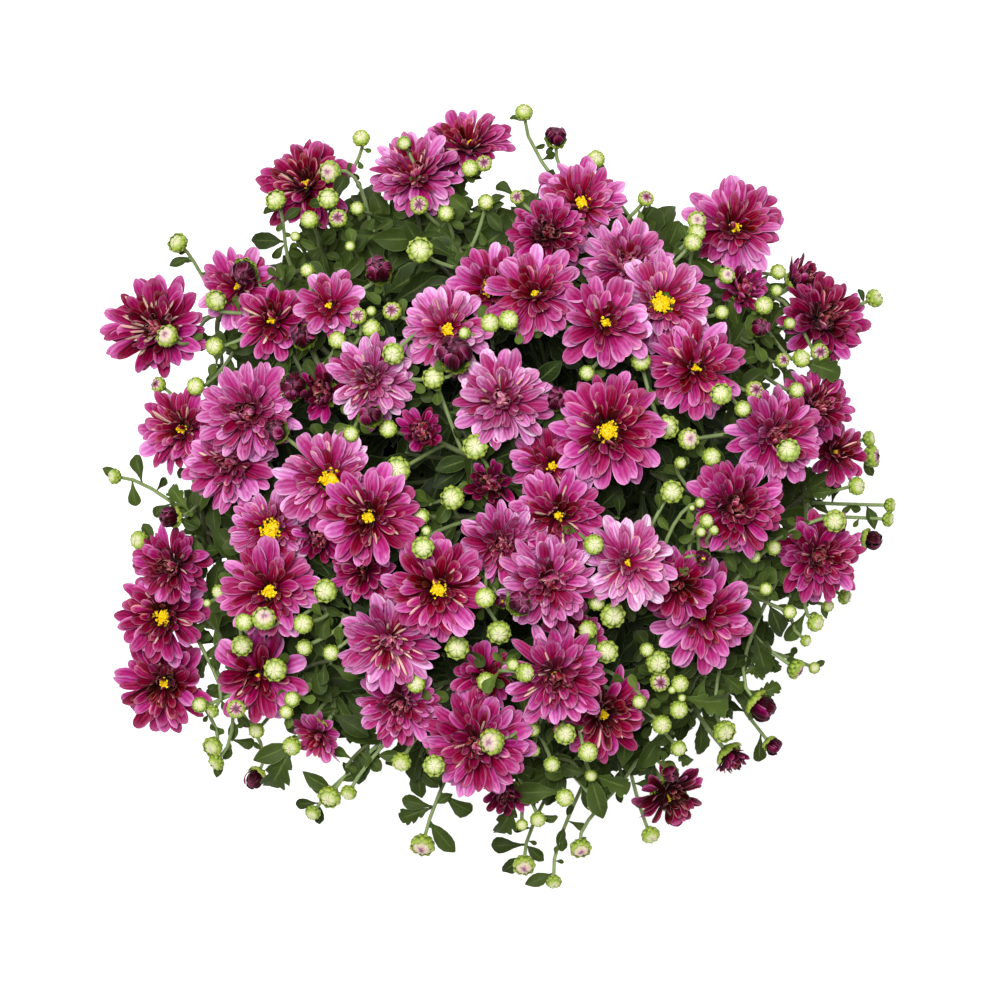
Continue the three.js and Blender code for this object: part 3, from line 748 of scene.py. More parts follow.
def triangles(mesh):
    return sum(len(face.vertices) - 2 for face in mesh.polygons)


def finish_piece(mesh, name, nodes=()):
    """One piece of the plant: its mesh in metres, riding on the pot, standing for nodes."""
    mesh.name = name
    piece = set_out(name, mesh)
    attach(piece, "root")
    if nodes:
        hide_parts(*nodes)
    return piece


# %% [markdown]
# ## Colours and materials
# A material reads what the geometry knows: how far along a floret a point lies, how far
# across, which whorl the floret is in and how old its head is. So the same material gives
# the dark heart, the magenta face and the pale margin, on every head at every age. Part of
# this is painted light: the darkest heart between the florets is partly painted shade, and
# the pale margins carry painted highlights. Leaves and stems low in the plant are painted
# darker, partly as shade.


# %% Write the helpers for materials
def colour(code):
    """A colour from its six hexadecimal digits, as linear light."""
    shares = [int(code[place:place + 2], 16) / 255 for place in (0, 2, 4)]
    linear = [s / 12.92 if s <= 0.04045 else ((s + 0.055) / 1.055) ** 2.4 for s in shares]
    return (*linear, 1.0)


def new_material(name, roughness, specular):
    material = bpy.data.materials.new(name)
    material.use_nodes = True
    shader = material.node_tree.nodes["Principled BSDF"]
    shader.inputs["Roughness"].default_value = roughness
    shader.inputs["Specular IOR Level"].default_value = specular
    return material, material.node_tree, shader


def attribute(tree, name):
    return made(tree, "ShaderNodeAttribute", output="Fac", attribute_name=name)


def size_of(value):
    return calculate(value.tree, "ABSOLUTE", value)


def gradient(value, stops):
    """A colour read from a band of colours, each with its position."""
    face = made(value.tree, "ShaderNodeValToRGB", {0: value})
    band = face.socket.node.color_ramp
    while len(band.elements) < len(stops):
        band.elements.new(0.5)
    for element, (position, code) in zip(band.elements, stops):
        element.position = position
        element.color = colour(code)
    return face


def mixed(share, first, second):
    """Two colours mixed by a share. Each comes from a node or is written in six digits."""
    first, second = (colour(c) if isinstance(c, str) else c for c in (first, second))
    inputs = {0: share, 6: first, 7: second}
    return made(share.tree, "ShaderNodeMix", inputs, output=2, data_type="RGBA")


def brightened(base, amount, redder=0.0):
    """A colour made lighter or darker by a share, and turned on the colour wheel by another."""
    inputs = {"Hue": redder + 0.5, "Value": amount + 1.0, "Color": base}
    return made(base.tree, "ShaderNodeHueSaturation", inputs)


def noise(tree, scale, detail=2.0, stretch=None):
    where = made(tree, "ShaderNodeTexCoord", output="Object")
    if stretch:
        where = made(tree, "ShaderNodeMapping", {"Vector": where, "Scale": stretch})
    return made(tree, "ShaderNodeTexNoise", {"Vector": where, "Scale": scale, "Detail": detail})


def dressed(material, shader, face, relief=None, strength=0.3, depth=0.2):
    """Gives a material its colour, and a relief whose depth is in millimetres."""
    tree = material.node_tree
    plug(tree, face, shader.inputs["Base Color"])
    if relief:
        inputs = {"Height": relief, "Strength": strength, "Distance": depth * MM}
        plug(tree, made(tree, "ShaderNodeBump", inputs), shader.inputs["Normal"])
    return material


# %% Make the petal material
PETAL_AGES = [
    (0.0, "2e0009"), (0.14, "5a001f"), (0.30, "860238"), (0.44, "a01a58"), (0.58, "b03678"),
    (0.72, "c468a2"), (0.86, "d896c2"), (1.0, "f0d8e8")]
# The margin colours, pink on outer florets and peach on inner ones, serve both the pale margins and the
# painted highlights on them.
MARGIN_AND_HIGHLIGHT_PINK, MARGIN_AND_HIGHLIGHT_PEACH, BACK_CREAM = "f5b2da", "ffbcaa", "ffd4be"
# The last of these paints the side of each floret that is taken as lit a little paler: painted light.
AGE_START, AGE_BY_TONE, AGE_ALONG, AGE_ACROSS, AGE_BY_PAINTED_LIT_SIDE = -0.22, 1.22, 0.44, 0.10, 0.07
AGE_INWARD, AGELESS_TONE = 0.40, 1.15  # the heart is darker, but not where the tone is this pale
AGE_PLAY, AGE_BLOTCH, AGE_LINES = 0.11, 0.22, 0.05
BLOTCH_SCALE, LINES_ACROSS, LINES_WANDER, LINES_SHIFT = 300, 10.0, 5.0, 3.0
# Painted highlights: the first is a pale edge on the side taken as lit, the second pale margins that
# are partly the floret's own and partly painted light through the thin edge, the last a highlight on
# rolled inner rims. The pale tip is the floret's own colour.
PAINTED_LIT_MARGIN, BOTH_MARGINS_PALE_AND_LIT, PALE_TIP, ROLLED_RIM_HIGHLIGHT = 0.40, 0.48, 0.45, 0.45
PALE_LEAST, PALE_BY_TONE, PALE_BY_SHADE, PALE_INWARD = 0.1, 0.6, 0.2, 0.1
BARE_BACK, BARE_PLAY = 0.88, 0.08
LIGHT_PLAY, HEART_REDDER, HUE_PLAY = 0.14, 0.03, 0.012
PETAL_SHEEN, PETAL_SHEEN_ROUGHNESS = 0.03, 0.35
BASE_ROUGHNESS, TIP_SMOOTHER = 0.52, 0.14


def petal_age_and_lit_side(tree, along, signed, inner, tone, shade, blotch, lines):
    """How far a point has aged, from 0, dark, to 1, faded, with painted light: one side of each floret,
    picked at random as its lit side, is painted a little paler.
    """
    painted_lit_side = signed * calculate(tree, "SIGN", shade)
    age = tone * AGE_BY_TONE + AGE_START + (along - 0.5) * AGE_ALONG
    age = age - inner * (AGELESS_TONE - tone) * AGE_INWARD
    age = age + blotch * AGE_BLOTCH + shade * AGE_PLAY + lines * AGE_LINES
    # Painted light: the side taken as lit is painted paler, besides the paler sides that are the
    # floret's own colour.
    sides = signed * signed * AGE_ACROSS + painted_lit_side * AGE_BY_PAINTED_LIT_SIDE
    return (age + sides * ramp(along, 0.1, 0.6)).clamped()


def petal_margin_and_highlight(tree, along, signed, inner, tone, shade):
    """How pale the margin is, with painted highlights: a pale edge on the side of each floret picked at
    random as its lit side, pale margins on both sides that are partly the floret's own colour and
    partly painted light through the thin edge, a paler tip of its own, and a painted highlight on the
    rolled rims of some inner florets.
    """
    painted_lit_side = signed * calculate(tree, "SIGN", shade)
    # Painted highlight: a pale edge on the side taken as lit.
    painted_lit_edge = ramp(painted_lit_side, 0.6, 1.0) * ramp(along, 0.3, 0.9) * PAINTED_LIT_MARGIN
    both = ramp(size_of(signed), 0.80, 0.98) * ramp(along, 0.25, 0.7)
    tip = ramp(along, 0.80, 1.0) * PALE_TIP
    worn_and_lit = tone * PALE_BY_TONE + shade * PALE_BY_SHADE + inner * PALE_INWARD + PALE_LEAST
    # Painted highlight on the rolled rims of some inner florets, on the side taken as lit.
    rim = ramp(shade, 0.0, 0.5) * ramp(inner, 0.4, 0.7) * ramp(tone, 0.25, 0.45)
    rim = rim * ramp(painted_lit_side, 0.45, 0.85) * ramp(along, 0.45, 0.8) * ROLLED_RIM_HIGHLIGHT
    return ((painted_lit_edge + both * BOTH_MARGINS_PALE_AND_LIT + tip).clamped() * worn_and_lit + rim).clamped()


def petal_material():
    material, tree, shader = new_material("petal_magenta", roughness=0.46, specular=0.08)
    along, layer, signed = (attribute(tree, name) for name in ("along", "layer", "across"))
    tone, shade, back = (attribute(tree, name) for name in ("tone", "shade", "back"))
    inner = (1.0 - layer).clamped()
    blotch = noise(tree, BLOTCH_SCALE) - 0.5
    wander = blotch * LINES_WANDER + shade * LINES_SHIFT
    lines = calculate(tree, "SINE", signed * LINES_ACROSS + wander)
    age = petal_age_and_lit_side(tree, along, signed, inner, tone, shade, blotch, lines)
    # The pale margin mixes the floret's own pale colour with painted highlights.
    margin_and_highlight_colour = mixed(ramp(layer, 0.2, 0.6), MARGIN_AND_HIGHLIGHT_PEACH, MARGIN_AND_HIGHLIGHT_PINK)
    pale_and_lit = petal_margin_and_highlight(tree, along, signed, inner, tone, shade)
    face = mixed(pale_and_lit, gradient(age, PETAL_AGES), margin_and_highlight_colour)
    bare = back * ramp(along, 0.15, 0.5) * (shade * BARE_PLAY + BARE_BACK)
    face = mixed(bare, face, BACK_CREAM)
    redder = (inner - 0.5) * HEART_REDDER - shade * HUE_PLAY
    face = brightened(face, shade * LIGHT_PLAY, redder)
    shader.inputs["Sheen Weight"].default_value = PETAL_SHEEN
    shader.inputs["Sheen Roughness"].default_value = PETAL_SHEEN_ROUGHNESS
    plug(tree, BASE_ROUGHNESS - along * TIP_SMOOTHER, shader.inputs["Roughness"])
    return dressed(material, shader, face, lines * 0.7 + blotch, strength=0.5, depth=0.4)


petal = petal_material()

# %% Make the leaf and stem materials
# The grown greens are for old leaves deep in the plant: partly their own darker colour, partly painted
# shade.
YOUNG_GREENS, OLD_AND_SHADED_GREENS = ("42531a", "60752e"), ("141d08", "2b3b14")
SIDE_VEINS, VEIN_SLANT, VEIN_GREEN, MIDRIB_GREEN, RIM_GREEN = 44.0, 0.22, "728a48", "829650", "7f9a58"
VEIN_SHOWS, MIDRIB_SHOWS, RIM_SHOWS, LEAF_LIGHT_PLAY = 0.14, 0.30, 0.3, 0.32
FRESH_GREENS, WOODY_AND_SHADED_BROWNS = ("728a4c", "a3b67a"), ("2c3519", "57593a")
CALYX_GREENS = [
    (0.0, "36501a"), (0.35, "617f28"), (0.65, "93ac38"), (0.9, "aec050"), (1.0, "98a944")]
CALYX_MARGIN, CALYX_TIP, CALYX_GRAIN, MARGIN_SHOWS, TIP_SHOWS = "5d7a20", "84602c", 0.3, 0.45, 0.6
CAP_CREAMS = [(0.0, "7f9a38"), (0.35, "c2cf7c"), (0.8, "ebe7c0")]
CAP_PINKS = [(0.0, "a9b070"), (0.45, "e2d6b0"), (0.8, "ddbcbc"), (1.0, "b0708e")]
CAP_DARKS = [(0.0, "94904a"), (0.4, "dccab0"), (0.7, "b4708e"), (1.0, "5c1038")]
CREAM_MARGIN, DARK_MARGIN, CREAM_SHOWS, DARK_SHOWS, CAP_GRAIN = "98ae4c", "6e1c44", 0.7, 0.85, 0.3
EYE_YELLOWS, EYE_LIGHT_PLAY = [(0.0, "cf9a00"), (0.45, "f6cc00"), (1.0, "ffe41c")], 0.14


def leaf_material():
    """Leaves high in the dome are fresh green, and those deep in the plant are dark: partly for their
    age and partly as painted shade.
    """
    material, tree, shader = new_material("leaf_green", roughness=0.56, specular=0.16)
    along, aside = attribute(tree, "along"), size_of(attribute(tree, "across"))
    mottle = noise(tree, scale=180, detail=3.0)
    young, old_and_shaded = (mixed(mottle, *greens) for greens in (YOUNG_GREENS, OLD_AND_SHADED_GREENS))
    face = mixed(attribute(tree, "age").clamped(), young, old_and_shaded)
    vein = calculate(tree, "SINE", (along - aside * VEIN_SLANT) * SIDE_VEINS)
    side_vein = ramp(vein, 0.82, 1.0) * ramp(aside, 0.9, 0.2)
    midrib = ramp(aside, 0.14, 0.03) * ramp(along, 1.0, 0.6)
    face = mixed(side_vein * VEIN_SHOWS, face, VEIN_GREEN)
    face = mixed(midrib * MIDRIB_SHOWS, face, MIDRIB_GREEN)
    face = mixed(ramp(aside, 0.88, 1.0) * RIM_SHOWS, face, RIM_GREEN)
    face = brightened(face, attribute(tree, "shade") * LEAF_LIGHT_PLAY)
    relief = mottle * 0.8 - side_vein - midrib
    return dressed(material, shader, face, relief, strength=0.5, depth=0.4)


def stem_material():
    """Green and grained along its length, and darker brown the woodier it is marked: partly its own
    woodiness, partly painted shade low in the plant.
    """
    material, tree, shader = new_material("stem_green", roughness=0.55, specular=0.3)
    grain = noise(tree, scale=400, detail=3.0, stretch=(1, 1, 0.15))
    # Painted shade: the woody brown is dark, partly the stem's own woodiness and partly painted shade
    # low in the plant.
    fresh, wood_and_shade = (mixed(grain, *shades) for shades in (FRESH_GREENS, WOODY_AND_SHADED_BROWNS))
    face = mixed(attribute(tree, "wood_and_shade").clamped(), fresh, wood_and_shade)
    return dressed(material, shader, face, grain, strength=0.4, depth=0.3)


def calyx_material():
    """Green scales that pale towards their tips, with a dark margin and a brown point."""
    material, tree, shader = new_material("bud_green", roughness=0.5, specular=0.35)
    along, aside = attribute(tree, "along"), size_of(attribute(tree, "across"))
    grain = noise(tree, scale=500)
    face = gradient((along + (grain - 0.5) * CALYX_GRAIN).clamped(), CALYX_GREENS)
    face = mixed(ramp(aside, 0.72, 1.0) * MARGIN_SHOWS, face, CALYX_MARGIN)
    face = mixed(ramp(along + grain * 0.2, 1.04, 1.14) * TIP_SHOWS, face, CALYX_TIP)
    return dressed(material, shader, face, grain)


def cap_material():
    """The tiny florets that close a bud's top, from cream through pink to crimson."""
    material, tree, shader = new_material("bud_cap", roughness=0.5, specular=0.35)
    along, stage = attribute(tree, "along"), attribute(tree, "stage")
    aside, grain = size_of(attribute(tree, "across")), noise(tree, scale=600)
    cream, pink, dark = (gradient(along, band) for band in (CAP_CREAMS, CAP_PINKS, CAP_DARKS))
    cream = mixed(ramp(aside, 0.4, 1.0) * CREAM_SHOWS, cream, CREAM_MARGIN)
    dark = mixed(ramp(aside, 0.3, 0.9) * DARK_SHOWS, dark, DARK_MARGIN)
    face = mixed(stage.clamped(), cream, pink)
    face = mixed((stage - 1.0).clamped(), face, dark)
    return dressed(material, shader, brightened(face, (grain - 0.5) * CAP_GRAIN), grain)


def eye_material():
    material, tree, shader = new_material("disc_yellow", roughness=0.5, specular=0.3)
    face = gradient(attribute(tree, "along"), EYE_YELLOWS)
    face = brightened(face, attribute(tree, "shade") * EYE_LIGHT_PLAY)
    return dressed(material, shader, face, noise(tree, scale=900))


leaf, stem, calyx, cap, eye = (
    make() for make in (leaf_material, stem_material, calyx_material, cap_material, eye_material))

# %% Make the pot and potting mix materials
CLAY_BROWNS, PERLITE_WHITES = ("6a3626", "8a4d38"), ("cfc8b8", "f3f0e6")
MIX_BROWNS = [(0.3, "120a06"), (0.55, "2c1b10"), (0.75, "4a3220")]
PLASTIC_ROUGHNESS, GRAIN_DULLS, DUST_DULLS = 0.32, 0.2, 0.25


def plastic_material():
    """Matt moulded plastic, duller where dust has settled."""
    material, tree, shader = new_material("pot_plastic", roughness=0.55, specular=0.4)
    grain = noise(tree, scale=900, detail=3.0)
    dust = noise(tree, scale=22, detail=4.0, stretch=(1, 1, 0.4))
    dull = grain * GRAIN_DULLS + dust * DUST_DULLS + PLASTIC_ROUGHNESS
    plug(tree, dull, shader.inputs["Roughness"])
    face = mixed(dust, *CLAY_BROWNS)
    return dressed(material, shader, face, grain, strength=0.25, depth=0.3)


def mix_material():
    material, tree, shader = new_material("potting_mix", roughness=0.95, specular=0.2)
    fibres = noise(tree, scale=240, detail=6.0)
    face = gradient(fibres, MIX_BROWNS)
    return dressed(material, shader, face, fibres, strength=0.8, depth=1.0)


def perlite_material():
    material, tree, shader = new_material("perlite", roughness=0.9, specular=0.2)
    return dressed(material, shader, mixed(noise(tree, scale=700), *PERLITE_WHITES))


plastic, mix, perlite = plastic_material(), mix_material(), perlite_material()
print(len(bpy.data.materials), "materials")

# %% [markdown]
# ## Forms to repeat
# A form is a small mesh, one unit long, that a tree repeats. A ray floret is a strap that
# widens and then narrows to its tip, with its sides curled up and a groove along each. Young
# inner ones stand up as boats, and old outer ones lie flat and bend back, so there are seven
# bends of three outlines. Some inner florets stay rolled into quills that show their pale
# backs. Each form carries how far along and how far across every point lies.


# %% Write the helpers for forms
def form_collection(name, meshes):
    """A collection outside the scene, which a tree can pick from by name order."""
    forms = bpy.data.collections.new(name)
    for order, mesh in enumerate(meshes):
        forms.objects.link(bpy.data.objects.new(f"{name}_{order:02d}", mesh))
    print(name, "forms:", len(meshes))
    return forms


def strap_mesh(name, rows, columns, place_of):
    """A strap of quads: place_of(row share, column share) gives each corner."""
    spots = [(s, w) for s in rows for w in columns]
    wide = len(columns)
    faces = []
    for row in range(len(rows) - 1):
        for column in range(wide - 1):
            first = row * wide + column
            faces.append((first, first + 1, first + wide + 1, first + wide))
    along, across = zip(*spots)
    corners = [place_of(s, w) for s, w in spots]
    mesh = new_mesh(name, corners, faces=faces, along=along, across=across)
    mesh.shade_smooth()
    return mesh


LATE = 1.4  # how late a bend comes: 1 is even, and more leaves the foot straighter
LINE_STEPS = 40


def bent_line(bend, onset=LATE):
    """Points and headings of a unit line whose heading turns by bend degrees, late or evenly."""
    places, place = [], Vector((0, 0))
    for step in range(LINE_STEPS + 1):
        heading = math.radians(bend) * (step / LINE_STEPS) ** onset
        places.append((place.copy(), heading))
        place += Vector((math.cos(heading), math.sin(heading))) / LINE_STEPS
    return places


def raised(line, s, rise, ahead=0.0):
    """The place at a share of a bent line, raised square to it and moved ahead."""
    spot, heading = line[round(s * LINE_STEPS)]
    return spot.x + ahead - rise * math.sin(heading), spot.y + rise * math.cos(heading)


def between(table, share):
    """A value read from a table of (share, value) pairs, in a straight line between them."""
    for (low, first), (high, second) in zip(table, table[1:]):
        if share <= high:
            return first + (second - first) * (share - low) / (high - low)
    return table[-1][1]


# %% Make the ray florets
FLORET_ROWS = (0, 0.2, 0.4, 0.6, 0.76, 0.88, 0.96, 1)
FLORET_COLUMNS = (-1, -0.5, 0, 0.5, 1)
FLORET_OUTLINES = (  # half width at each row, as a share: blunt, spoon and lance
    (0.40, 0.58, 0.84, 1.0, 0.96, 0.76, 0.46, 0.10),
    (0.36, 0.50, 0.72, 0.94, 1.0, 0.88, 0.62, 0.24),
    (0.36, 0.58, 0.84, 0.97, 0.88, 0.66, 0.38, 0.05),
)
FLORET_SIDES = ((-1, 0.3, 1), (1, -0.3, -1))  # which way each outline sways, in turn
FLORET_HALF_WIDTH = 0.162
FLORET_BENDS = (  # bend in degrees, how late it comes, how far the sides curl up in radians
    (150, 1.0, 0.75), (118, LATE, 1.05), (72, LATE, 1.25), (42, LATE, 1.0), (16, LATE, 0.75),
    (-6, LATE, 0.54), (-24, LATE, 0.42))
QUILLS = ((0, 0), (-12, 0), (-24, 1))  # bend in degrees, outline
QUILL_CURL, QUILL_HALF_WIDTH, QUILL_SIDE = -2.2, 0.066, 0.4  # curled down, to show the back
GROOVE, FOOT_CURL, TIP_OPENING = 0.10, 1.1, 0.35
SWAY, ONE_SIDED = 0.09, 0.25
RIPPLE, RIPPLE_ALONG, RIPPLE_ACROSS, RIPPLE_SHIFT = 0.14, 9, 2, 3


def floret_mesh(name, bend, onset, curl, half_width, outline, side):
    """A floret whose sides curl up by an angle, in radians. It sways to a side, -1 to 1."""
    line = bent_line(bend, onset)

    def place_of(s, w):
        half = half_width * outline[FLORET_ROWS.index(s)]
        here = curl * (FOOT_CURL - TIP_OPENING * s) * (1 + ONE_SIDED * side * w)
        aside = half * math.sin(here * w) / here + SWAY * side * s * s
        rise = half * (1 - math.cos(here * w)) / here
        wave = math.sin(RIPPLE_ALONG * s + RIPPLE_ACROSS * w + RIPPLE_SHIFT * side)
        rise += half * RIPPLE * wave * abs(w)
        if abs(w) == 0.5:
            rise -= half * GROOVE
        return aside, *raised(line, s, rise)

    return strap_mesh(name, FLORET_ROWS, FLORET_COLUMNS, place_of)


OUTLINES = len(FLORET_OUTLINES)
florets = [
    mark(floret_mesh("floret", bend, onset, curl, FLORET_HALF_WIDTH, outline, side), "back", 0)
    for order, (bend, onset, curl) in enumerate(FLORET_BENDS)
    for outline, side in zip(FLORET_OUTLINES, FLORET_SIDES[order % 2])]
quills = [
    floret_mesh("quill", bend, LATE, QUILL_CURL, QUILL_HALF_WIDTH, FLORET_OUTLINES[outline],
                QUILL_SIDE)
    for bend, outline in QUILLS]
for quill in quills:
    mark(quill, "back", 1)
floret_forms = form_collection("floret", florets + quills)

# %% [markdown]
# Scales and disc florets are smaller still. A scale is a pointed strap that hugs the bud. A
# disc floret is a tube that opens in five lobes.

# %% Make the scales and disc florets
SCALE_COLUMNS = (-1, 0, 1)
SCALE_WIDTHS = {0: 0.24, 0.35: 0.33, 0.65: 0.35, 0.88: 0.28, 1: 0.12}
TONGUE_WIDTHS = {0: 0.26, 0.35: 0.22, 0.7: 0.12, 1: 0.02}
SCALES = {  # half width at shares of the length, bend in degrees, how far the outer face bulges
    "scale": (SCALE_WIDTHS, 36, 0.75),
    "clasp": (SCALE_WIDTHS, 84, 0.85),
    "tongue": (TONGUE_WIDTHS, 30, 0.9),
}
LOBES = 5
LOBE_TIP, LOBE_VALLEY, TUBE_FOOT, TUBE_MOUTH = (1.0, 1.2), (0.55, 1.0), (0.4, -1.2), 0.7


def scale_mesh(name, widths, bend, bulge):
    """A strap whose outer face bulges. Its lower side is the one that is seen."""
    line = bent_line(bend)

    def place_of(s, w):
        return -widths[s] * w, *raised(line, s, -bulge * widths[s] * (1 - w * w))

    return strap_mesh(name, tuple(widths), SCALE_COLUMNS, place_of)


def on_ring(ring, turns):
    """A corner on a ring of (reach, height), at a share of a whole turn."""
    angle = 2 * math.pi * turns
    return ring[0] * math.cos(angle), ring[0] * math.sin(angle), ring[1]


def disc_floret_mesh():
    """A star of lobes round a sunken mouth, on a tube with one corner for each lobe."""
    rim = 2 * LOBES
    corners = [(0, 0, TUBE_MOUTH)]
    corners += [on_ring((LOBE_TIP, LOBE_VALLEY)[point % 2], point / rim) for point in range(rim)]
    corners += [on_ring(TUBE_FOOT, (point + 0.5) / LOBES) for point in range(LOBES)]
    along = [0.5] + [1.0, 0.8] * LOBES + [0.0] * LOBES
    faces = [(0, 1 + point, 1 + (point + 1) % rim) for point in range(rim)]
    foot = 1 + rim
    for point in range(LOBES):
        here, valley, after = 1 + 2 * point, 2 + 2 * point, 1 + (2 * point + 2) % rim
        before = foot + (point - 1) % LOBES
        faces += [(valley, here, foot + point), (after, valley, foot + point)]
        faces.append((here, before, foot + point))
    return new_mesh("disc_floret", corners, faces=faces, along=along)


scale_forms, clasp_forms, tongue_forms = (
    form_collection(name, [scale_mesh(name, *shape)]) for name, shape in SCALES.items())
disc_forms = form_collection("disc_floret", [disc_floret_mesh()])


# %% Write the helper for turned forms
def turned(name, profile, segments):
    """A shape turned about Z. The profile runs from the axis round to the axis."""
    corners, faces, along, rings = [], [], [], []
    for ring in profile:
        steps = segments if ring[0] else 1
        rings.append([len(corners) + step % steps for step in range(segments)])
        corners += [on_ring(ring, step / segments) for step in range(steps)]
        along += [(len(rings) - 1) / (len(profile) - 1)] * steps
    for low, high in zip(rings, rings[1:]):
        for step in range(segments):
            after = (step + 1) % segments
            face = dict.fromkeys((low[step], low[after], high[after], high[step]))
            faces.append(tuple(face))
    mesh = new_mesh(name, corners, faces=faces, along=along)
    mesh.shade_smooth()
    return mesh


# %% [markdown]
# ## The flower head
# Florets sit on the receptacle by the golden angle, the youngest in the middle. From the
# inside out they grow longer, lie flatter and bend back more. One tree makes every head,
# from a half-open one to an old one, by its named inputs. A calyx of green scales holds the
# florets from below, and an eye of disc florets fills the centre where there is one.

# %% Build the flower head tree
RECEPTACLE = [(0, 0), (1.5, 0), (3.2, 1.4), (4.2, 3.0), (3.0, 3.8), (0, 4.0)]
# The heart takes the darkest crimson of the petal material: partly the floret bases' own colour and
# partly painted shade between the florets.
HEART = [(0, 3.0), (4.3, 3.0), (4.0, 3.6), (2.4, 4.8), (0, 5.2)]
HEAD_MEASURES = (
    "Radius", "Eye", "Inner Lift", "Outer Lift", "Inner Length", "Breadth", "Curl", "Points",
    "Tone", "Cream", "Sway", "Play", "Size", "Calyx")

ATTACH_BAND = 2.4  # how far out from the eye the outermost florets stand
ATTACH_HIGH, ATTACH_LOW, EYE_RIM, EYE_BARE = 5.2, 3.2, 0.92, 0.6
LENGTH_GAIN = 1.03  # florets lie at a slant and jitter, so they are cut a little long
LENGTH_POWER, LIFT_POWER, BREADTH_POWER, INNER_BREADTH = 1.6, 0.72, 0.8, 0.32
LENGTH_PLAY, BREADTH_PLAY, TONE_PLAY = (-0.16, 0.11), (0.82, 1.12), 0.07
AZIMUTH_PLAY, LIFT_PLAY, TWIST_PLAY, BEND_PLAY = 0.24, 0.32, 0.6, 1.2
INNER_BEND, BEND_SPAN, OUTLINE_PLAY = 2.0, 5.0, 1.9
ALMOST = 0.1  # keeps a pick below the next whole number
QUILL_LAYER, QUILL_CROWDING = 0.52, 1.5  # quills crowd about this layer
QUILL_LEAST, QUILL_BY_CREAM = 0.05, 0.62
QUILL_SHORTENING, QUILL_LIFT = 0.16, 0.28

DISC_CROWDING, DISC_FEWEST, DISC_SIZES = 2.6, 3.0, (0.406, 0.928)
DISC_HEIGHT, DISC_RISE, DISC_TIP, DISC_AZIMUTH_PLAY = 5.4, 1.5, 0.6, 0.3
EYE_ONE_SIDED, EYE_THREE_LOBED, EYE_PLAY = 0.30, 0.22, (-0.1, 0.25)
CUSHION_ASIDE, CUSHION_HEIGHT, CUSHION_SHAPE, CUSHION_RISE = 0.1, 5.0, (0.85, 0.7), 1.3

CALYX_SCALES, CALYX_LENGTH, CALYX_BREADTH = 21, 7.5, 1.1
CALYX_INSIDE, CALYX_BAND, CALYX_RISE = 1.4, 1.6, 1.2
CALYX_OPENED, CALYX_BY_LIFT, CALYX_BY_PLAY, CALYX_PLAY = 0.44, 0.6, 0.28, 0.15


def pick_floret(tree, given, layer, quill):
    """Which form a floret has: a bend for its layer and an outline, or else a quill."""
    seed = given["Seed"]
    bend = layer * BEND_SPAN + INNER_BEND - given["Curl"] + either_way(tree, BEND_PLAY, seed + 5)
    bend = whole(bend.clamped(0.0, len(FLORET_BENDS) - ALMOST))
    outline = random_field(tree, 0.0, OUTLINE_PLAY, seed + 6) + given["Points"]
    outline = whole(outline.clamped(0.0, OUTLINES - ALMOST))
    rolled = whole(random_field(tree, 0.0, len(quills) - ALMOST, seed + 10)) + len(florets)
    return (bend * OUTLINES + outline) * (1.0 - quill) + rolled * quill


def ray_strand(tree, given):
    """Florets by the golden angle, with a lift, a length and a breadth for each layer."""
    radius, size, play, seed = (given[name] for name in ("Radius", "Size", "Play", "Seed"))
    order = index_field(tree)
    layer = (order + 0.5) / given["Florets"]
    azimuth = order * GOLDEN_ANGLE + either_way(tree, AZIMUTH_PLAY, seed) * play
    outward = layer * size * (ATTACH_BAND * MM)
    height = size * (ATTACH_HIGH * MM - layer * ((ATTACH_HIGH - ATTACH_LOW) * MM))
    place = on_circle(given["Eye"] * EYE_RIM + outward, azimuth, height)
    points = points_at(given["Florets"], place)
    lift = blend((given["Inner Lift"], given["Outer Lift"]), layer ** LIFT_POWER)
    lift = lift + either_way(tree, LIFT_PLAY, seed + 1) * play
    lift = lift + given["Sway"] * calculate(tree, "COSINE", azimuth)
    share = 1.0 - (1.0 - given["Inner Length"]) * (1.0 - layer) ** LENGTH_POWER
    length = (radius - given["Eye"] * EYE_BARE - outward) * share * LENGTH_GAIN
    length = length * (random_field(tree, *LENGTH_PLAY, seed + 2) * play + 1.0)
    breadth = radius * blend((INNER_BREADTH, 1.0), layer ** BREADTH_POWER) * given["Breadth"]
    breadth = breadth * random_field(tree, *BREADTH_PLAY, seed + 3)
    chance = random_field(tree, 0.0, 1.0, seed + 9)
    chance = chance + size_of(layer - QUILL_LAYER) * QUILL_CROWDING
    quill = calculate(tree, "LESS_THAN", chance, given["Cream"] * QUILL_BY_CREAM + QUILL_LEAST)
    length = length * (1.0 - quill * QUILL_SHORTENING)
    twist = either_way(tree, TWIST_PLAY, seed + 4) * play
    aim = turned_by(aimed(lift + quill * QUILL_LIFT, azimuth), twist)
    points = store(points, "layer", layer)
    points = store(points, "tone", given["Tone"] + either_way(tree, TONE_PLAY, seed + 7))
    points = store(points, "shade", either_way(tree, 1.0, seed + 8))
    pick = pick_floret(tree, given, layer, quill)
    placed = copies(points, floret_forms, aim, (breadth, length, length), pick)
    return with_material(placed, petal)


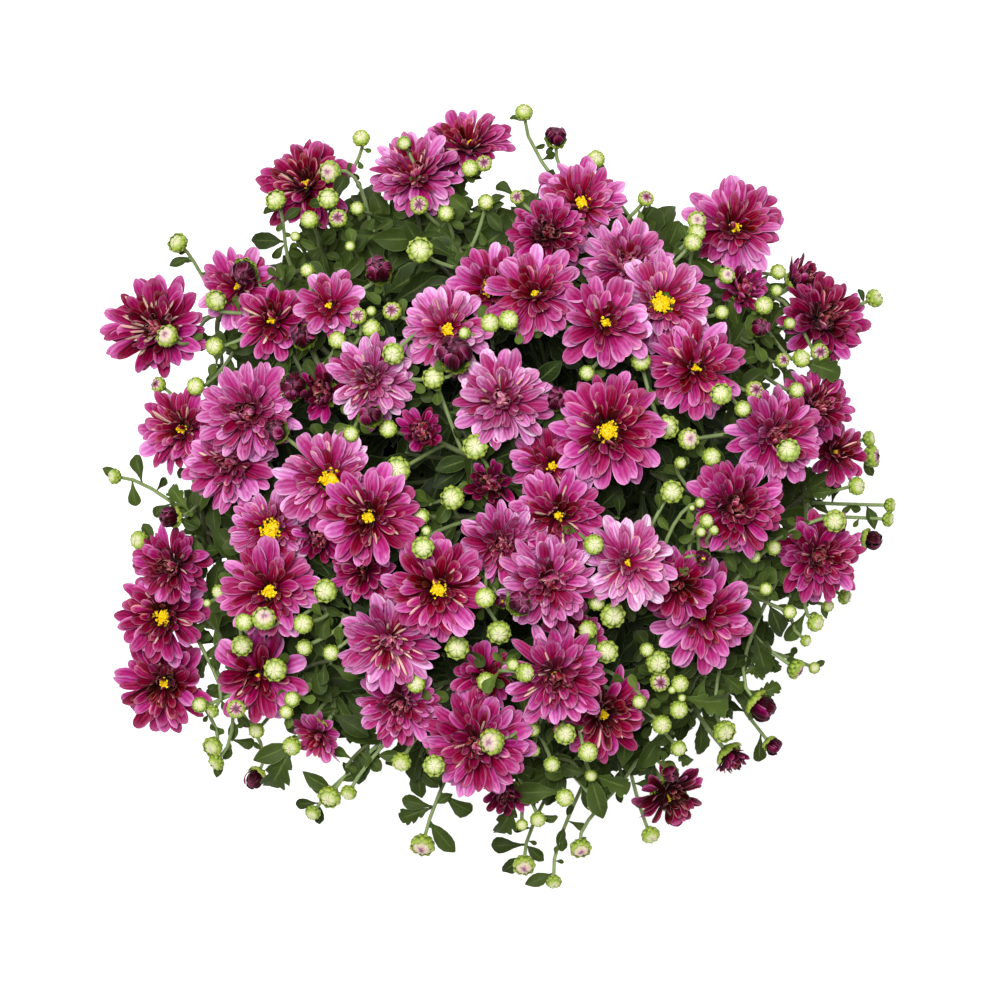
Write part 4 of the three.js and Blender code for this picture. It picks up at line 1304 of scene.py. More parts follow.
def disc_strand(tree, given):
    """Disc florets, packed by the golden angle and crowded to one side."""
    eye_radius, seed = given["Eye"], given["Seed"]
    order = index_field(tree)
    per_mm = eye_radius / MM
    count = per_mm * per_mm * DISC_CROWDING + DISC_FEWEST
    azimuth = order * GOLDEN_ANGLE + either_way(tree, DISC_AZIMUTH_PLAY, seed + 15)
    uneven = calculate(tree, "COSINE", azimuth) * EYE_ONE_SIDED
    uneven = uneven + calculate(tree, "SINE", azimuth * 3.0) * EYE_THREE_LOBED
    uneven = uneven + random_field(tree, *EYE_PLAY, seed + 16)
    reach = calculate(tree, "SQRT", (order + 0.5) / count) * eye_radius * (uneven + 1.0)
    height = random_field(tree, 0.0, DISC_RISE * MM, seed + 10) + DISC_HEIGHT * MM
    points = points_at(whole(count), on_circle(reach, azimuth, height))
    points = store(points, "shade", either_way(tree, 1.0, seed + 11))
    tips = (either_way(tree, DISC_TIP, seed + n) for n in (12, 13))
    size = random_field(tree, *(size * MM for size in DISC_SIZES), seed + 14)
    placed = copies(points, disc_forms, euler_rotation(tree, *tips, azimuth), size)
    return with_material(placed, eye)


def cushion_strand(tree, given):
    """A flattened ball under the disc florets."""
    eye_radius = given["Eye"]
    ball = made(tree, "GeometryNodeMeshIcoSphere", {"Radius": 1.0, "Subdivisions": 2})
    shape = [eye_radius * share for share in CUSHION_SHAPE]
    inputs = {
        "Geometry": ball, "Scale": vector_of(tree, *shape, CUSHION_RISE * MM),
        "Translation": vector_of(tree, eye_radius * CUSHION_ASIDE, 0.0, CUSHION_HEIGHT * MM)}
    cushion = store(made(tree, "GeometryNodeTransform", inputs), "along", 0.5)
    return with_material(cushion, eye)


def calyx_strand(tree, given):
    """Green scales that hold the florets from below, and open as far as these do."""
    size, length = given["Size"], given["Calyx"]
    order = index_field(tree)
    layer = (order + 0.5) / CALYX_SCALES
    azimuth = order * GOLDEN_ANGLE
    reach = size * (layer * (CALYX_BAND * MM) + CALYX_INSIDE * MM)
    height = size * layer * (CALYX_RISE * MM)
    points = points_at(CALYX_SCALES, on_circle(reach, azimuth, height))
    opened = given["Outer Lift"] * CALYX_BY_LIFT + CALYX_OPENED - given["Play"] * CALYX_BY_PLAY
    opened = opened + either_way(tree, CALYX_PLAY, given["Seed"] + 15)
    scale = (length * CALYX_BREADTH, length, length)
    placed = copies(points, scale_forms, aimed(opened, azimuth), scale)
    return with_material(placed, calyx)


def head_tree():
    tree, given = new_tree("flower_head", HEAD_MEASURES, ("Florets", "Seed"))
    cup = calculate(tree, "LESS_THAN", named(tree, "heart"), 0.5)
    core = with_material(given["Geometry"], calyx, cup)
    core = with_material(core, petal, 1.0 - cup)
    strands = (calyx_strand, ray_strand, disc_strand, cushion_strand)
    return close_tree(tree, core, *(strand(tree, given) for strand in strands))


flower_head = head_tree()
print(len(flower_head.nodes), "nodes in the head tree")

# %% Make a head
EYE_LEAST, HEAD_SEGMENTS, SPIN_STEP, SEED_STEP = 0.4, 12, 2.4, 100
POINTS_STEP, SWAY_LEAST, SWAY_STEP, SWAY_BY_EYE = 0.35, 0.10, 0.08, 0.3


def turn_to(axis, spin):
    """The rotation that takes +Z to an axis, after a spin about +Z."""
    return axis.to_track_quat("Z", "Y").to_matrix() @ Euler((0, 0, spin)).to_matrix()


def receptacle_mesh(size, segments):
    """The cup that holds the florets, with a heart between them on top that the petal material colours
    at its darkest: partly the floret bases' own crimson and partly painted shade in the gaps between
    the florets.
    """
    cup, heart = ([(r * size * MM, z * size * MM) for r, z in form] for form in (RECEPTACLE, HEART))
    return joined([mark(turned("cup", cup, segments), "heart", 0),
                   mark(turned("heart", heart, segments), "heart", 1)])


def grown_head(name, values, segments, stand, spin):
    """A head made by the tree on its receptacle, then turned to its axis and set in place."""
    mesh = run_tree(flower_head, name, values, receptacle_mesh(values["Size"], segments))
    turn = turn_to(stand["axis"], spin).to_4x4()
    mesh.transform(Matrix.Translation(stand["base"] * MM) @ turn)
    return mesh


def head_mesh(head, name):
    florets, inner, outer, inner_length, curl, breadth, calyx_share = HABITS[head["habit"]]
    number, tone, eye_radius = head["number"], head["tone"], head["eye_radius"]
    sway = (SWAY_LEAST + SWAY_STEP * (number % 3)) / (1 + SWAY_BY_EYE * eye_radius)
    values = {
        "Florets": florets, "Radius": head["radius"] * MM, "Eye": (EYE_LEAST + eye_radius) * MM,
        "Inner Lift": math.radians(inner), "Outer Lift": math.radians(outer),
        "Inner Length": inner_length, "Breadth": breadth, "Curl": curl + YOUTH_CURL * (0.5 - tone),
        "Points": POINTS_STEP * (number % 4), "Tone": tone, "Cream": head["cream"], "Sway": sway,
        "Play": 1.0, "Size": 1.0, "Calyx": CALYX_LENGTH * MM * calyx_share,
        "Seed": SEED_STEP * number,
    }
    return grown_head(name, values, HEAD_SEGMENTS, head, SPIN_STEP * number)


total = 0
for group, in_frame in ((heads, True), (under_heads, False)):
    for head in group:
        label = f"{head['number']:02d}"
        mesh = head_mesh(head, f"bloom_{label}")
        nodes = [f"flower_head_{label}"] if in_frame else []
        finish_piece(mesh, f"bloom_{label}", nodes)
        total += triangles(mesh)
print(len(heads) + len(under_heads), "heads,", total, "triangles")

# %% [markdown]
# ## The buds
# A closed bud is a flattened button. Three rings of green scales wrap it from the stalk up,
# and tongues, the tips of the florets inside, close its top. One tree makes the button, at
# three stages. A second tree sets the buttons on their stalks. Dark buds are heads that
# have hardly opened, so the head tree makes them.

# %% Build the bud tree
BUD_PROFILE = [(0, 0), (0.4, 0.03), (0.8, 0.32), (0.9, 0.72), (0.82, 1.02), (0.55, 1.24), (0, 1.32)]
BUD_SEGMENTS, RING_SCALES, RING_BREADTH = 12, 9, 0.98
RINGS = (  # reach, height, lift and length of the scales, and their forms
    (0.36, 0.06, 0.62, 0.86, scale_forms), (0.70, 0.32, 1.05, 0.80, scale_forms),
    (0.84, 0.62, 1.22, 0.74, clasp_forms))
TOP_SHUT, TOP_OPENS = 0.3, 0.5  # how much more the top ring leans in, and how far it opens
RING_AZIMUTH_PLAY, RING_LIFT_PLAY, RING_LENGTH_PLAY = 0.10, 0.08, (0.92, 1.08)
TONGUES, TONGUE_REACH, TONGUE_HEIGHT = 12, 0.78, 1.06
TONGUE_LIFT, TONGUE_LENGTH, TONGUE_BREADTH = 2.42, 0.80, 0.92
TONGUE_AZIMUTH_PLAY, TONGUE_LIFT_PLAY, TONGUE_LENGTH_PLAY = 0.15, (-0.13, 0.10), (0.84, 1.06)


def ring_strand(tree, ring, reach, height, lift, length, forms):
    """One ring of scales round the button, between those of the ring below."""
    azimuth = (index_field(tree) + 0.5 * ring) * (2 * math.pi / RING_SCALES)
    azimuth = azimuth + either_way(tree, RING_AZIMUTH_PLAY, 10 * ring)
    points = points_at(RING_SCALES, on_circle(reach, azimuth, height))
    aim = aimed(lift + either_way(tree, RING_LIFT_PLAY, 10 * ring + 2), azimuth)
    length = length * random_field(tree, *RING_LENGTH_PLAY, 10 * ring + 3)
    placed = copies(points, forms, aim, (RING_BREADTH, length, length))
    return with_material(placed, calyx)


def tongue_strand(tree, given):
    """The tips of the florets inside, which meet over the top of the button."""
    azimuth = index_field(tree) * (2 * math.pi / TONGUES)
    azimuth = azimuth + either_way(tree, TONGUE_AZIMUTH_PLAY, 4)
    points = points_at(TONGUES, on_circle(TONGUE_REACH, azimuth, TONGUE_HEIGHT))
    points = store(points, "stage", given["Stage"])
    aim = aimed(TONGUE_LIFT + random_field(tree, *TONGUE_LIFT_PLAY, 5), azimuth)
    length = TONGUE_LENGTH * random_field(tree, *TONGUE_LENGTH_PLAY, 6)
    placed = copies(points, tongue_forms, aim, (TONGUE_BREADTH, length, length))
    return with_material(placed, cap)


def bud_tree():
    tree, given = new_tree("bud", ("Opening", "Stage"), ())
    core = store(given["Geometry"], "stage", given["Stage"])
    strands = [with_material(core, cap)]
    for ring, (reach, height, lift, length, forms) in enumerate(RINGS):
        if ring == len(RINGS) - 1:
            lift = lift + TOP_SHUT - given["Opening"] * TOP_OPENS
        strands.append(ring_strand(tree, ring, reach, height, lift, length, forms))
    return close_tree(tree, *strands, tongue_strand(tree, given))


bud_button = bud_tree()
YOUNG_BUTTON, FULL_BUTTON = 3, 4
BUD_STAGES = ((0.35, 0.0), (0.9, 1.0), (0.6, 2.0), (0.0, 0.0), (1.0, 0.0))  # opening, stage
bud_forms = form_collection("button", [
    run_tree(bud_button, f"button_{order}", {"Opening": opening, "Stage": stage},
             turned("core", BUD_PROFILE, BUD_SEGMENTS))
    for order, (opening, stage) in enumerate(BUD_STAGES)])

# %% Set the buds on their stalks
YOUNG_RADIUS, FULL_RADIUS = 3.7, 4.4
DARK_STAGE = STAGES.index("d")
DARK_BUD = {
    "Inner Lift": math.radians(70), "Outer Lift": math.radians(15), "Inner Length": 0.62,
    "Curl": 12.0, "Points": 0.0, "Tone": 0.16, "Cream": 0.0, "Sway": 0.0, "Play": 0.45,
}
DARK_REACH, DARK_EYE, DARK_CALYX = 2.42, 0.12, 0.95  # floret, eye and scales, in radii of the bud
LARGE_DARK, LARGE_FILLING, SMALL_FILLING = 6, (60, 1.05), (30, 1.3)  # florets and breadth
DARK_FULL = 10  # the radius of a dark bud whose receptacle would be as large as a head's
DARK_SEGMENTS, DARK_SPIN, DARK_SEED = 10, 1.7, 50000


def scatter_tree():
    tree, given = new_tree("buds_on_stalks")
    axis = named(tree, "axis", "FLOAT_VECTOR")
    aim = made(tree, "FunctionNodeAlignRotationToVector", {"Vector": axis}, axis="Z")
    aim = turned_by(aim, spin=random_field(tree, 0.0, 2 * math.pi, given["Seed"]))
    pick = whole(named(tree, "pick") + 0.5)
    placed = copies(given["Geometry"], bud_forms, aim, named(tree, "size"), pick)
    return close_tree(tree, realized(placed))


buds_on_stalks = scatter_tree()


def button_of(bud):
    """Closed buds whiten as they swell: the youngest are all green."""
    if bud["stage"] > 0:
        return bud["stage"]
    if bud["radius"] < YOUNG_RADIUS:
        return YOUNG_BUTTON
    return FULL_BUTTON if bud["radius"] > FULL_RADIUS else 0


def bud_points(buds):
    places = [bud["base"] * MM for bud in buds]
    sizes = [bud["radius"] * MM for bud in buds]
    mesh = new_mesh("bud_points", places, size=sizes, pick=[button_of(bud) for bud in buds])
    axes = [value for bud in buds for value in bud["axis"]]
    mesh.attributes.new("axis", "FLOAT_VECTOR", "POINT").data.foreach_set("vector", axes)
    return mesh


def dark_bud_mesh(bud, number):
    """A bud about to open: crimson florets whose tips still meet over the centre."""
    radius = bud["radius"]
    florets_inside, breadth = SMALL_FILLING if radius < LARGE_DARK else LARGE_FILLING
    values = DARK_BUD | {
        "Florets": florets_inside, "Breadth": breadth, "Radius": DARK_REACH * radius * MM,
        "Eye": DARK_EYE * radius * MM, "Calyx": DARK_CALYX * radius * MM,
        "Size": radius / DARK_FULL, "Seed": DARK_SEED + SEED_STEP * number,
    }
    return grown_head("dark_bud", values, DARK_SEGMENTS, bud, DARK_SPIN * number)


dark_count = 0
for cutting in range(CUTTINGS + 1):
    mine = [bud for bud in edge_buds + inner_buds if bud["cutting"] == cutting]
    closed = [bud for bud in mine if bud["stage"] < DARK_STAGE]
    dark = [bud for bud in mine if bud["stage"] == DARK_STAGE]
    meshes = [run_tree(buds_on_stalks, "buds", {"Seed": cutting}, bud_points(closed))]
    for bud in dark:
        dark_count += 1
        meshes.append(dark_bud_mesh(bud, dark_count))
    piece = finish_piece(joined(meshes), f"buds_{cutting + 1}")
    print(piece.name, len(closed), "closed,", len(dark), "dark,", triangles(piece.data), "triangles")

# %% [markdown]
# ## The stems
# The framework becomes a net of points and edges that know how thick and how woody the stem
# is there; the woody mark also paints the stem darker low in the plant, partly as painted
# shade. Geometry Nodes turn it into curves and run a ribbed section along them, because
# a chrysanthemum's stem is ridged. The section shrinks towards each head or bud.

# %% Build the stem tree
STEM_RIBS, RIB_DEPTH = 6, 0.84
STEM_KINDS = {  # steps, radius, its share at the foot and tip, woodiness and painted shade at the foot and tip
    "main": (10, MAIN_RADIUS, (1.0, 0.9), (1.0, 0.6)),
    "shoots": (12, SHOOT_RADIUS, (1.0, 0.72), (1.4, 0.1)),
    "stalks": (7, STALK_RADIUS, (1.15, 1.0), (0.3, 0.0)),
    "leafy": (12, SHOOT_RADIUS, (0.9, 0.5), (1.2, 0.6)),
}


def stem_tree():
    tree, given = new_tree("ribbed_stems", ("Rib Depth",), ("Ribs",))
    curve = made(tree, "GeometryNodeMeshToCurve", {"Mesh": given["Geometry"]})
    inputs = {"Points": given["Ribs"], "Inner Radius": given["Rib Depth"], "Outer Radius": 1.0}
    section = made(tree, "GeometryNodeCurveStar", inputs)
    inputs = {"Curve": curve, "Profile Curve": section, "Scale": named(tree, "thickness"),
              "Fill Caps": True}
    tube = made(tree, "GeometryNodeCurveToMesh", inputs)
    smooth = made(tree, "GeometryNodeSetShadeSmooth", {"Geometry": tube})
    return close_tree(tree, with_material(smooth, stem))


ribbed_stems = stem_tree()


def stem_net(each):
    """The curves of a cutting as a net of edges, marked with what the stem is like there."""
    corners, edges = [], []
    marks = {"thickness": [], "wood_and_shade": [], "share": [], "kind": []}
    for kind, (label, (steps, radius, slimming, wood_and_shade)) in enumerate(STEM_KINDS.items()):
        for stem_here in each[label]:
            for step in range(steps + 1):
                share = step / steps
                if step:
                    edges.append((len(corners) - 1, len(corners)))
                corners.append(curve_point(stem_here["curve"], share) * MM)
                marks["thickness"].append(radius * blend(slimming, share) * MM)
                marks["wood_and_shade"].append(blend(wood_and_shade, share))
                marks["share"].append(share)
                marks["kind"].append(kind)
    return new_mesh("stem_net", corners, edges, **marks)


nets = [stem_net(each) for each in frameworks]
for cutting, net in enumerate(nets):
    values = {"Ribs": STEM_RIBS, "Rib Depth": RIB_DEPTH}
    mesh = run_tree(ribbed_stems, "stems", values, net.copy())
    piece = finish_piece(mesh, f"stems_{cutting + 1}", [f"cutting_{cutting + 1}"])
    print(piece.name, triangles(piece.data), "triangles")

# %% [markdown]
# ## The leaves
# Leaves under the buds are small and spoon-shaped, and further down they grow larger and
# cut into rounded lobes. A leaf form is a strap whose width follows a table read along the
# midrib. Its blade folds a little at the midrib and droops towards the tip.

# %% Make the leaf forms
LEAF_COLUMNS = (-1, -0.5, 0, 0.5, 1)
SPOON = [(0, 0.035), (0.16, 0.045), (0.34, 0.11), (0.5, 0.20), (0.66, 0.265), (0.8, 0.27),
         (0.92, 0.18), (1, 0.04)]
OVAL = [(0, 0.03), (0.12, 0.045), (0.28, 0.16), (0.45, 0.25), (0.62, 0.26), (0.78, 0.205),
        (0.91, 0.11), (1, 0.02)]
WAVY = [(0, 0.03), (0.16, 0.045), (0.28, 0.12), (0.37, 0.20), (0.45, 0.19), (0.55, 0.26),
        (0.63, 0.245), (0.73, 0.26), (0.81, 0.20), (0.92, 0.14), (1, 0.02)]
LOBED = [(0, 0.03), (0.15, 0.04), (0.25, 0.08), (0.32, 0.18), (0.38, 0.20), (0.43, 0.13),
         (0.50, 0.25), (0.57, 0.29), (0.63, 0.19), (0.70, 0.27), (0.77, 0.27), (0.83, 0.18),
         (0.90, 0.17), (0.96, 0.11), (1, 0.02)]
LEAF_SHAPES = (  # half widths, droop in degrees, how far the lobes reach forward
    (SPOON, 24, 0.0), (OVAL, 34, 0.0), (WAVY, 40, 0.05), (LOBED, 46, 0.09))
LEAF_VARIANTS = ((0.6, 0.25, 0.06), (1.3, 0.45, -0.08))  # share of the droop, waviness, sweep
LEAF_FOLD, LEAF_BREADTH, LOBE_WIDTH, WAVES_ALONG, WAVES_ACROSS = 0.22, 0.88, 0.3, 7, 2.2


def leaf_mesh(name, outline, droop, forward, wave, sweep):
    """A blade folded at the midrib, which droops, waves and sweeps to one side."""
    line = bent_line(-droop)

    def place_of(s, w):
        half = between(outline, s) * LEAF_BREADTH
        ripple = wave * math.sin(WAVES_ALONG * s + WAVES_ACROSS * w) * abs(w) * half
        rise = half * LEAF_FOLD * abs(w) + ripple
        ahead = forward * (half / LOBE_WIDTH) * w * w
        return half * w + sweep * s * s, *raised(line, s, rise, ahead)

    return strap_mesh(name, [share for share, _ in outline], LEAF_COLUMNS, place_of)


leaf_forms = form_collection("leaf", [
    leaf_mesh("leaf", outline, droop * share, forward, wave, sweep)
    for outline, droop, forward in LEAF_SHAPES
    for share, wave, sweep in LEAF_VARIANTS])

# %% [markdown]
# The leaf tree walks along the net of stems and sets a leaf every few millimetres, each a
# golden angle round from the last. How far a point lies under the dome tells the leaf's
# size and form, and a leaf too near the top of the dome, where the heads sit, is left out.

# %% Build the leaf tree
LEAF_SPACING = 6.5
LEAF_ROOM = 12  # how far under the dome the topmost leaves on shoots sit
STALK_CLOSER = 0.9  # by this share the leaves on stalks sit closer to it
BARE_FOOT, BARE_TIP, LEAFY_TIP = 0.16, 0.86, 0.2
STALK_LEAF_LOSS, SHOOT_LEAF_LOSS = 0.25, 0.25
LEAF_LENGTHS, LEAF_LENGTH_PLAY = (9, 37), (0.8, 1.2)
LEAF_SHALLOW, LEAF_DEEP = 12, 95  # leaves start to be larger, and are full-grown so much deeper
LEAF_YOUNG_AND_LIT, LEAF_OLD_AND_SHADED = 5, 36  # the depths between which leaves are painted darker, partly with age and partly as painted shade
STALK_GROWTH_LOSS, STALK_LENGTH_LOSS, GROWTH_PLAY = 0.45, 0.12, 0.12
LIT_FLANK, LIT_AGE = (80, 140), 0.55  # the reach over which old leaves see more light
EDGE_ZONE, EDGE_SHARE = (112, 158), 0.62  # leaves shrink towards the edge, to this share
LEAF_SPREAD, GROWN_SPREAD_LOSS, STALK_SPREAD, LEAF_AZIMUTH_PLAY = 1.9, 0.4, 0.65, 0.4
LEAF_PITCH, LEAF_PITCH_PLAY, LEAF_ROLL = (0.50, -0.08), 0.3, 0.5
FORM_SPAN, FORM_PLAY, VARIANT_PLAY = 3.6, (-0.4, 0.6), 1.99
STALK, LEAFY = (float(list(STEM_KINDS).index(kind)) for kind in ("stalks", "leafy"))
CLOSE = 0.1  # how exactly a mark has to be the number that stands for a kind


def dome_field(reach):
    share = (reach / (DOME_RADIUS * MM)).clamped(0.0, DOME_EDGE / DOME_RADIUS)
    rise = calculate(reach.tree, "SQRT", 1.0 - share * share) * (DOME_RISE * MM)
    return (DOME_BASE * MM) + rise


def over_reach(reach, zone, share):
    """1 inside a zone of reach, and a share outside it."""
    return ramp(reach, zone[0] * MM, zone[1] * MM, 1.0, share)


def thinned_points(tree, given, depth, on_stalk, leafy):
    """Places along the stems, without those that are bare or stand too near the top of the dome."""
    curve = made(tree, "GeometryNodeMeshToCurve", {"Mesh": given["Geometry"]})
    inputs = {"Curve": curve, "Length": given["Spacing"]}
    points = made(tree, "GeometryNodeCurveToPoints", inputs, mode="LENGTH")
    share = named(tree, "share")
    room = given["Room"] * (1.0 - on_stalk * STALK_CLOSER)
    too_high = calculate(tree, "LESS_THAN", depth, room)
    too_low = calculate(tree, "LESS_THAN", share, BARE_FOOT)
    at_tip = calculate(tree, "GREATER_THAN", share, BARE_TIP + leafy * LEAFY_TIP)
    loss = on_stalk * STALK_LEAF_LOSS + (1.0 - on_stalk) * (1.0 - leafy) * SHOOT_LEAF_LOSS
    lost = calculate(tree, "LESS_THAN", random_field(tree, 0.0, 1.0, given["Seed"] + 7), loss)
    refuse = calculate(tree, "GREATER_THAN", too_high + too_low + at_tip + lost, 0.5)
    inputs = {"Geometry": points, "Selection": refuse}
    return made(tree, "GeometryNodeDeleteGeometry", inputs, domain="POINT")


def leaf_strand(tree, points, aim, length, pick, roll_seed, shade_seed, age):
    """The end of both leaf trees: each leaf rolled a little, given a random lightness, and given its
    mark of age and painted shade.
    """
    points = store(points, "shade", either_way(tree, 1.0, shade_seed))
    points = store(points, "age", age)
    aim = turned_by(aim, either_way(tree, LEAF_ROLL, roll_seed))
    return with_material(copies(points, leaf_forms, aim, length, pick), leaf)


def leaf_tree():
    tree, given = new_tree("leaves_on_stems", ("Spacing", "Room", "Short", "Long"))
    seed = given["Seed"]
    x, y, z = place_fields(tree)
    reach = calculate(tree, "SQRT", x * x + y * y)
    depth = dome_field(reach) - z
    on_stalk, leafy = (
        calculate(tree, "COMPARE", named(tree, "kind"), kind, CLOSE) for kind in (STALK, LEAFY))
    points = thinned_points(tree, given, depth, on_stalk, leafy)
    # Painted shade: leaves deeper under the dome are painted darker, and less so at the flank where
    # more light reaches; only partly is this their age.
    age = ((depth - LEAF_YOUNG_AND_LIT * MM) / ((LEAF_OLD_AND_SHADED - LEAF_YOUNG_AND_LIT) * MM)).clamped()
    age = age * over_reach(reach, LIT_FLANK, LIT_AGE)
    growth = ((depth - LEAF_SHALLOW * MM) / (LEAF_DEEP * MM)).clamped()
    growth = growth * (1.0 - on_stalk * STALK_GROWTH_LOSS)
    growth = (growth + either_way(tree, GROWTH_PLAY, seed)).clamped()
    length = blend((given["Short"], given["Long"]), growth)
    length = length * random_field(tree, *LEAF_LENGTH_PLAY, seed + 1)
    length = length * (1.0 - on_stalk * STALK_LENGTH_LOSS)
    length = length * over_reach(reach, EDGE_ZONE, EDGE_SHARE)
    azimuth = index_field(tree) * GOLDEN_ANGLE + either_way(tree, LEAF_AZIMUTH_PLAY, seed + 2)
    turn = calculate(tree, "SINE", azimuth) * (LEAF_SPREAD - growth * GROWN_SPREAD_LOSS)
    azimuth = calculate(tree, "ARCTAN2", y, x) + turn * (on_stalk * STALK_SPREAD + 1.0)
    pitch = blend(LEAF_PITCH, growth) + either_way(tree, LEAF_PITCH_PLAY, seed + 3)
    form = growth * FORM_SPAN + random_field(tree, *FORM_PLAY, seed + 5)
    form = whole(form.clamped(0.0, len(LEAF_SHAPES) - ALMOST))
    variant = whole(random_field(tree, 0.0, VARIANT_PLAY, seed + 6))
    pick = form * len(LEAF_VARIANTS) + variant
    aim = aimed(pitch, azimuth)
    strand = leaf_strand(tree, points, aim, length, pick, seed + 4, seed + 8, age)
    return close_tree(tree, strand)


leaves_on_stems = leaf_tree()
print(len(leaves_on_stems.nodes), "nodes in the leaf tree")

# %% [markdown]
# Some leaves stand clear of the rest at the edge, where each one is seen by itself. They are
# placed one by one: a leaf starts at the stem that is nearest to its foot on the plan, and it
# reaches to where the plan shows its tip.

# %% List the leaves at the edge
EDGE_LEAVES = [  # plan x and y of foot and tip, form: 0 spoon, 1 oval, 2 wavy, 3 lobed
    (142, 486, 135, 453, 0), (132, 487, 134, 506, 0), (172, 499, 152, 513, 0),
    (188, 500, 169, 485, 3), (184, 484, 176, 470, 0), (200, 504, 180, 509, 3),
    (157, 542, 145, 520, 1), (108, 476, 101, 469, 1), (180, 520, 196, 532, 1),
    (278, 244, 247, 238, 1), (279, 226, 300, 206, 1), (360, 170, 348, 165, 0),
    (336, 198, 345, 174, 0), (322, 210, 307, 202, 1), (298, 232, 316, 248, 1),
    (325, 250, 334, 226, 1), (370, 214, 392, 222, 1), (382, 205, 372, 218, 0),
    (272, 208, 261, 209, 1), (184, 262, 170, 266, 1), (468, 208, 447, 193, 1),
    (462, 218, 438, 205, 1), (479, 193, 504, 194, 1), (488, 208, 504, 203, 1),
    (492, 212, 503, 230, 1), (520, 157, 546, 146, 1), (515, 183, 498, 181, 0),
    (546, 188, 559, 173, 1), (520, 122, 510, 114, 1), (550, 152, 545, 153, 1),
    (800, 355, 842, 372, 3), (812, 352, 832, 350, 1), (690, 246, 684, 222, 1),
    (866, 300, 861, 287, 1), (862, 470, 871, 478, 1), (838, 472, 812, 496, 3),
    (848, 505, 842, 514, 1), (872, 510, 877, 528, 1), (840, 545, 826, 530, 1),
    (800, 614, 788, 642, 0), (818, 612, 828, 618, 1), (812, 661, 826, 662, 1),
    (766, 640, 779, 673, 3), (735, 667, 767, 677, 3), (764, 700, 780, 683, 3),
    (752, 690, 712, 682, 1), (753, 732, 758, 763, 0), (690, 734, 688, 768, 3),
    (697, 724, 704, 755, 2), (714, 705, 736, 716, 3), (742, 700, 752, 722, 2),
    (655, 755, 650, 784, 2), (612, 764, 632, 790, 3), (624, 762, 641, 775, 1),
    (603, 783, 604, 820, 1), (584, 783, 592, 810, 1), (586, 778, 560, 770, 3),
    (563, 818, 586, 827, 0), (548, 816, 559, 822, 1), (541, 840, 563, 828, 1),
    (544, 842, 564, 850, 1), (547, 860, 564, 861, 0), (535, 842, 544, 862, 1),
    (546, 867, 526, 885, 1), (514, 864, 500, 874, 1), (526, 838, 491, 847, 0),
    (494, 796, 500, 838, 3), (546, 790, 516, 790, 0), (455, 789, 469, 816, 0),
    (440, 820, 456, 853, 1), (440, 805, 399, 820, 3), (438, 803, 402, 801, 0),
    (400, 752, 379, 757, 1), (439, 754, 426, 750, 0), (434, 697, 413, 706, 1),
    (357, 744, 369, 774, 0), (335, 775, 363, 775, 1), (324, 777, 301, 775, 1),
    (324, 779, 307, 787, 1), (312, 800, 296, 802, 0), (276, 744, 268, 793, 3),
    (278, 738, 255, 763, 1), (240, 742, 227, 760, 0), (241, 741, 254, 746, 0),
    (237, 719, 234, 741, 1), (221, 735, 210, 724, 0), (325, 600, 330, 628, 1),
    (572, 839, 586, 836, 1), (318, 812, 318, 826, 1), (216, 768, 217, 778, 1),
    (766, 610, 785, 640, 1), (752, 634, 768, 674, 3), (728, 656, 752, 664, 1),
    (758, 578, 768, 600, 1), (772, 578, 780, 600, 1), (790, 598, 810, 606, 1),
    (776, 598, 796, 610, 1), (740, 640, 758, 655, 1), (745, 655, 770, 668, 3),
    (720, 676, 745, 690, 3), (740, 690, 772, 700, 3), (700, 690, 735, 712, 3),
]
FOOT_STEPS, FOOT_FIRST, FOOT_LAST = 9, 0.3, 0.95  # where on a stem a leaf may stand
DEPTH_COST, SHALLOW_COST, STEM_MISS = 0.15, 0.3, 14
EDGE_LEAF_RISE = (-0.10, 0.22)


def stem_feet():
    """Places on the stems where a leaf may stand, with the cutting that each is on."""
    for cutting, each in enumerate(frameworks):
        for bearer in each["shoots"] + each["stalks"] + each["leafy"]:
            for step in range(FOOT_STEPS):
                t = FOOT_FIRST + (FOOT_LAST - FOOT_FIRST) * step / (FOOT_STEPS - 1)
                yield curve_point(bearer["curve"], t), cutting


def edge_leaf(entry, feet, chance):
    """A leaf from the stem nearest to its foot on the plan, but not from far below the dome."""
    foot_x, foot_y, tip_x, tip_y, form = entry

    def miss(choice):
        foot, _ = choice
        depth = dome_height(flat_reach(foot)) - foot.z
        cost = DEPTH_COST * max(0, depth) + SHALLOW_COST * max(0, LEAF_ROOM - depth)
        return (on_plan(foot_x, foot_y, foot.z) - foot).length + cost

    foot, cutting = min(feet, key=miss)
    gap = (on_plan(foot_x, foot_y, foot.z) - foot).length
    way = on_plan(tip_x, tip_y, foot.z) - foot
    rise = chance.uniform(*EDGE_LEAF_RISE)
    return {"foot": foot, "cutting": cutting, "azimuth": math.atan2(way.y, way.x), "rise": rise,
            "length": way.length / math.cos(rise), "form": form, "gap": gap}


leaf_chance = random.Random(SEED + 2)
feet = list(stem_feet())
edge_leaves = [edge_leaf(entry, feet, leaf_chance) for entry in EDGE_LEAVES]
edge_leaves = [each for each in edge_leaves if each["gap"] < STEM_MISS]
print(len(edge_leaves), "of", len(EDGE_LEAVES), "edge leaves stand near a stem")

# %% Build the tree for the leaves at the edge
EDGE_AGES, EDGE_VARIANT_PLAY = (0.3, 0.85), (0.01, 1.99)


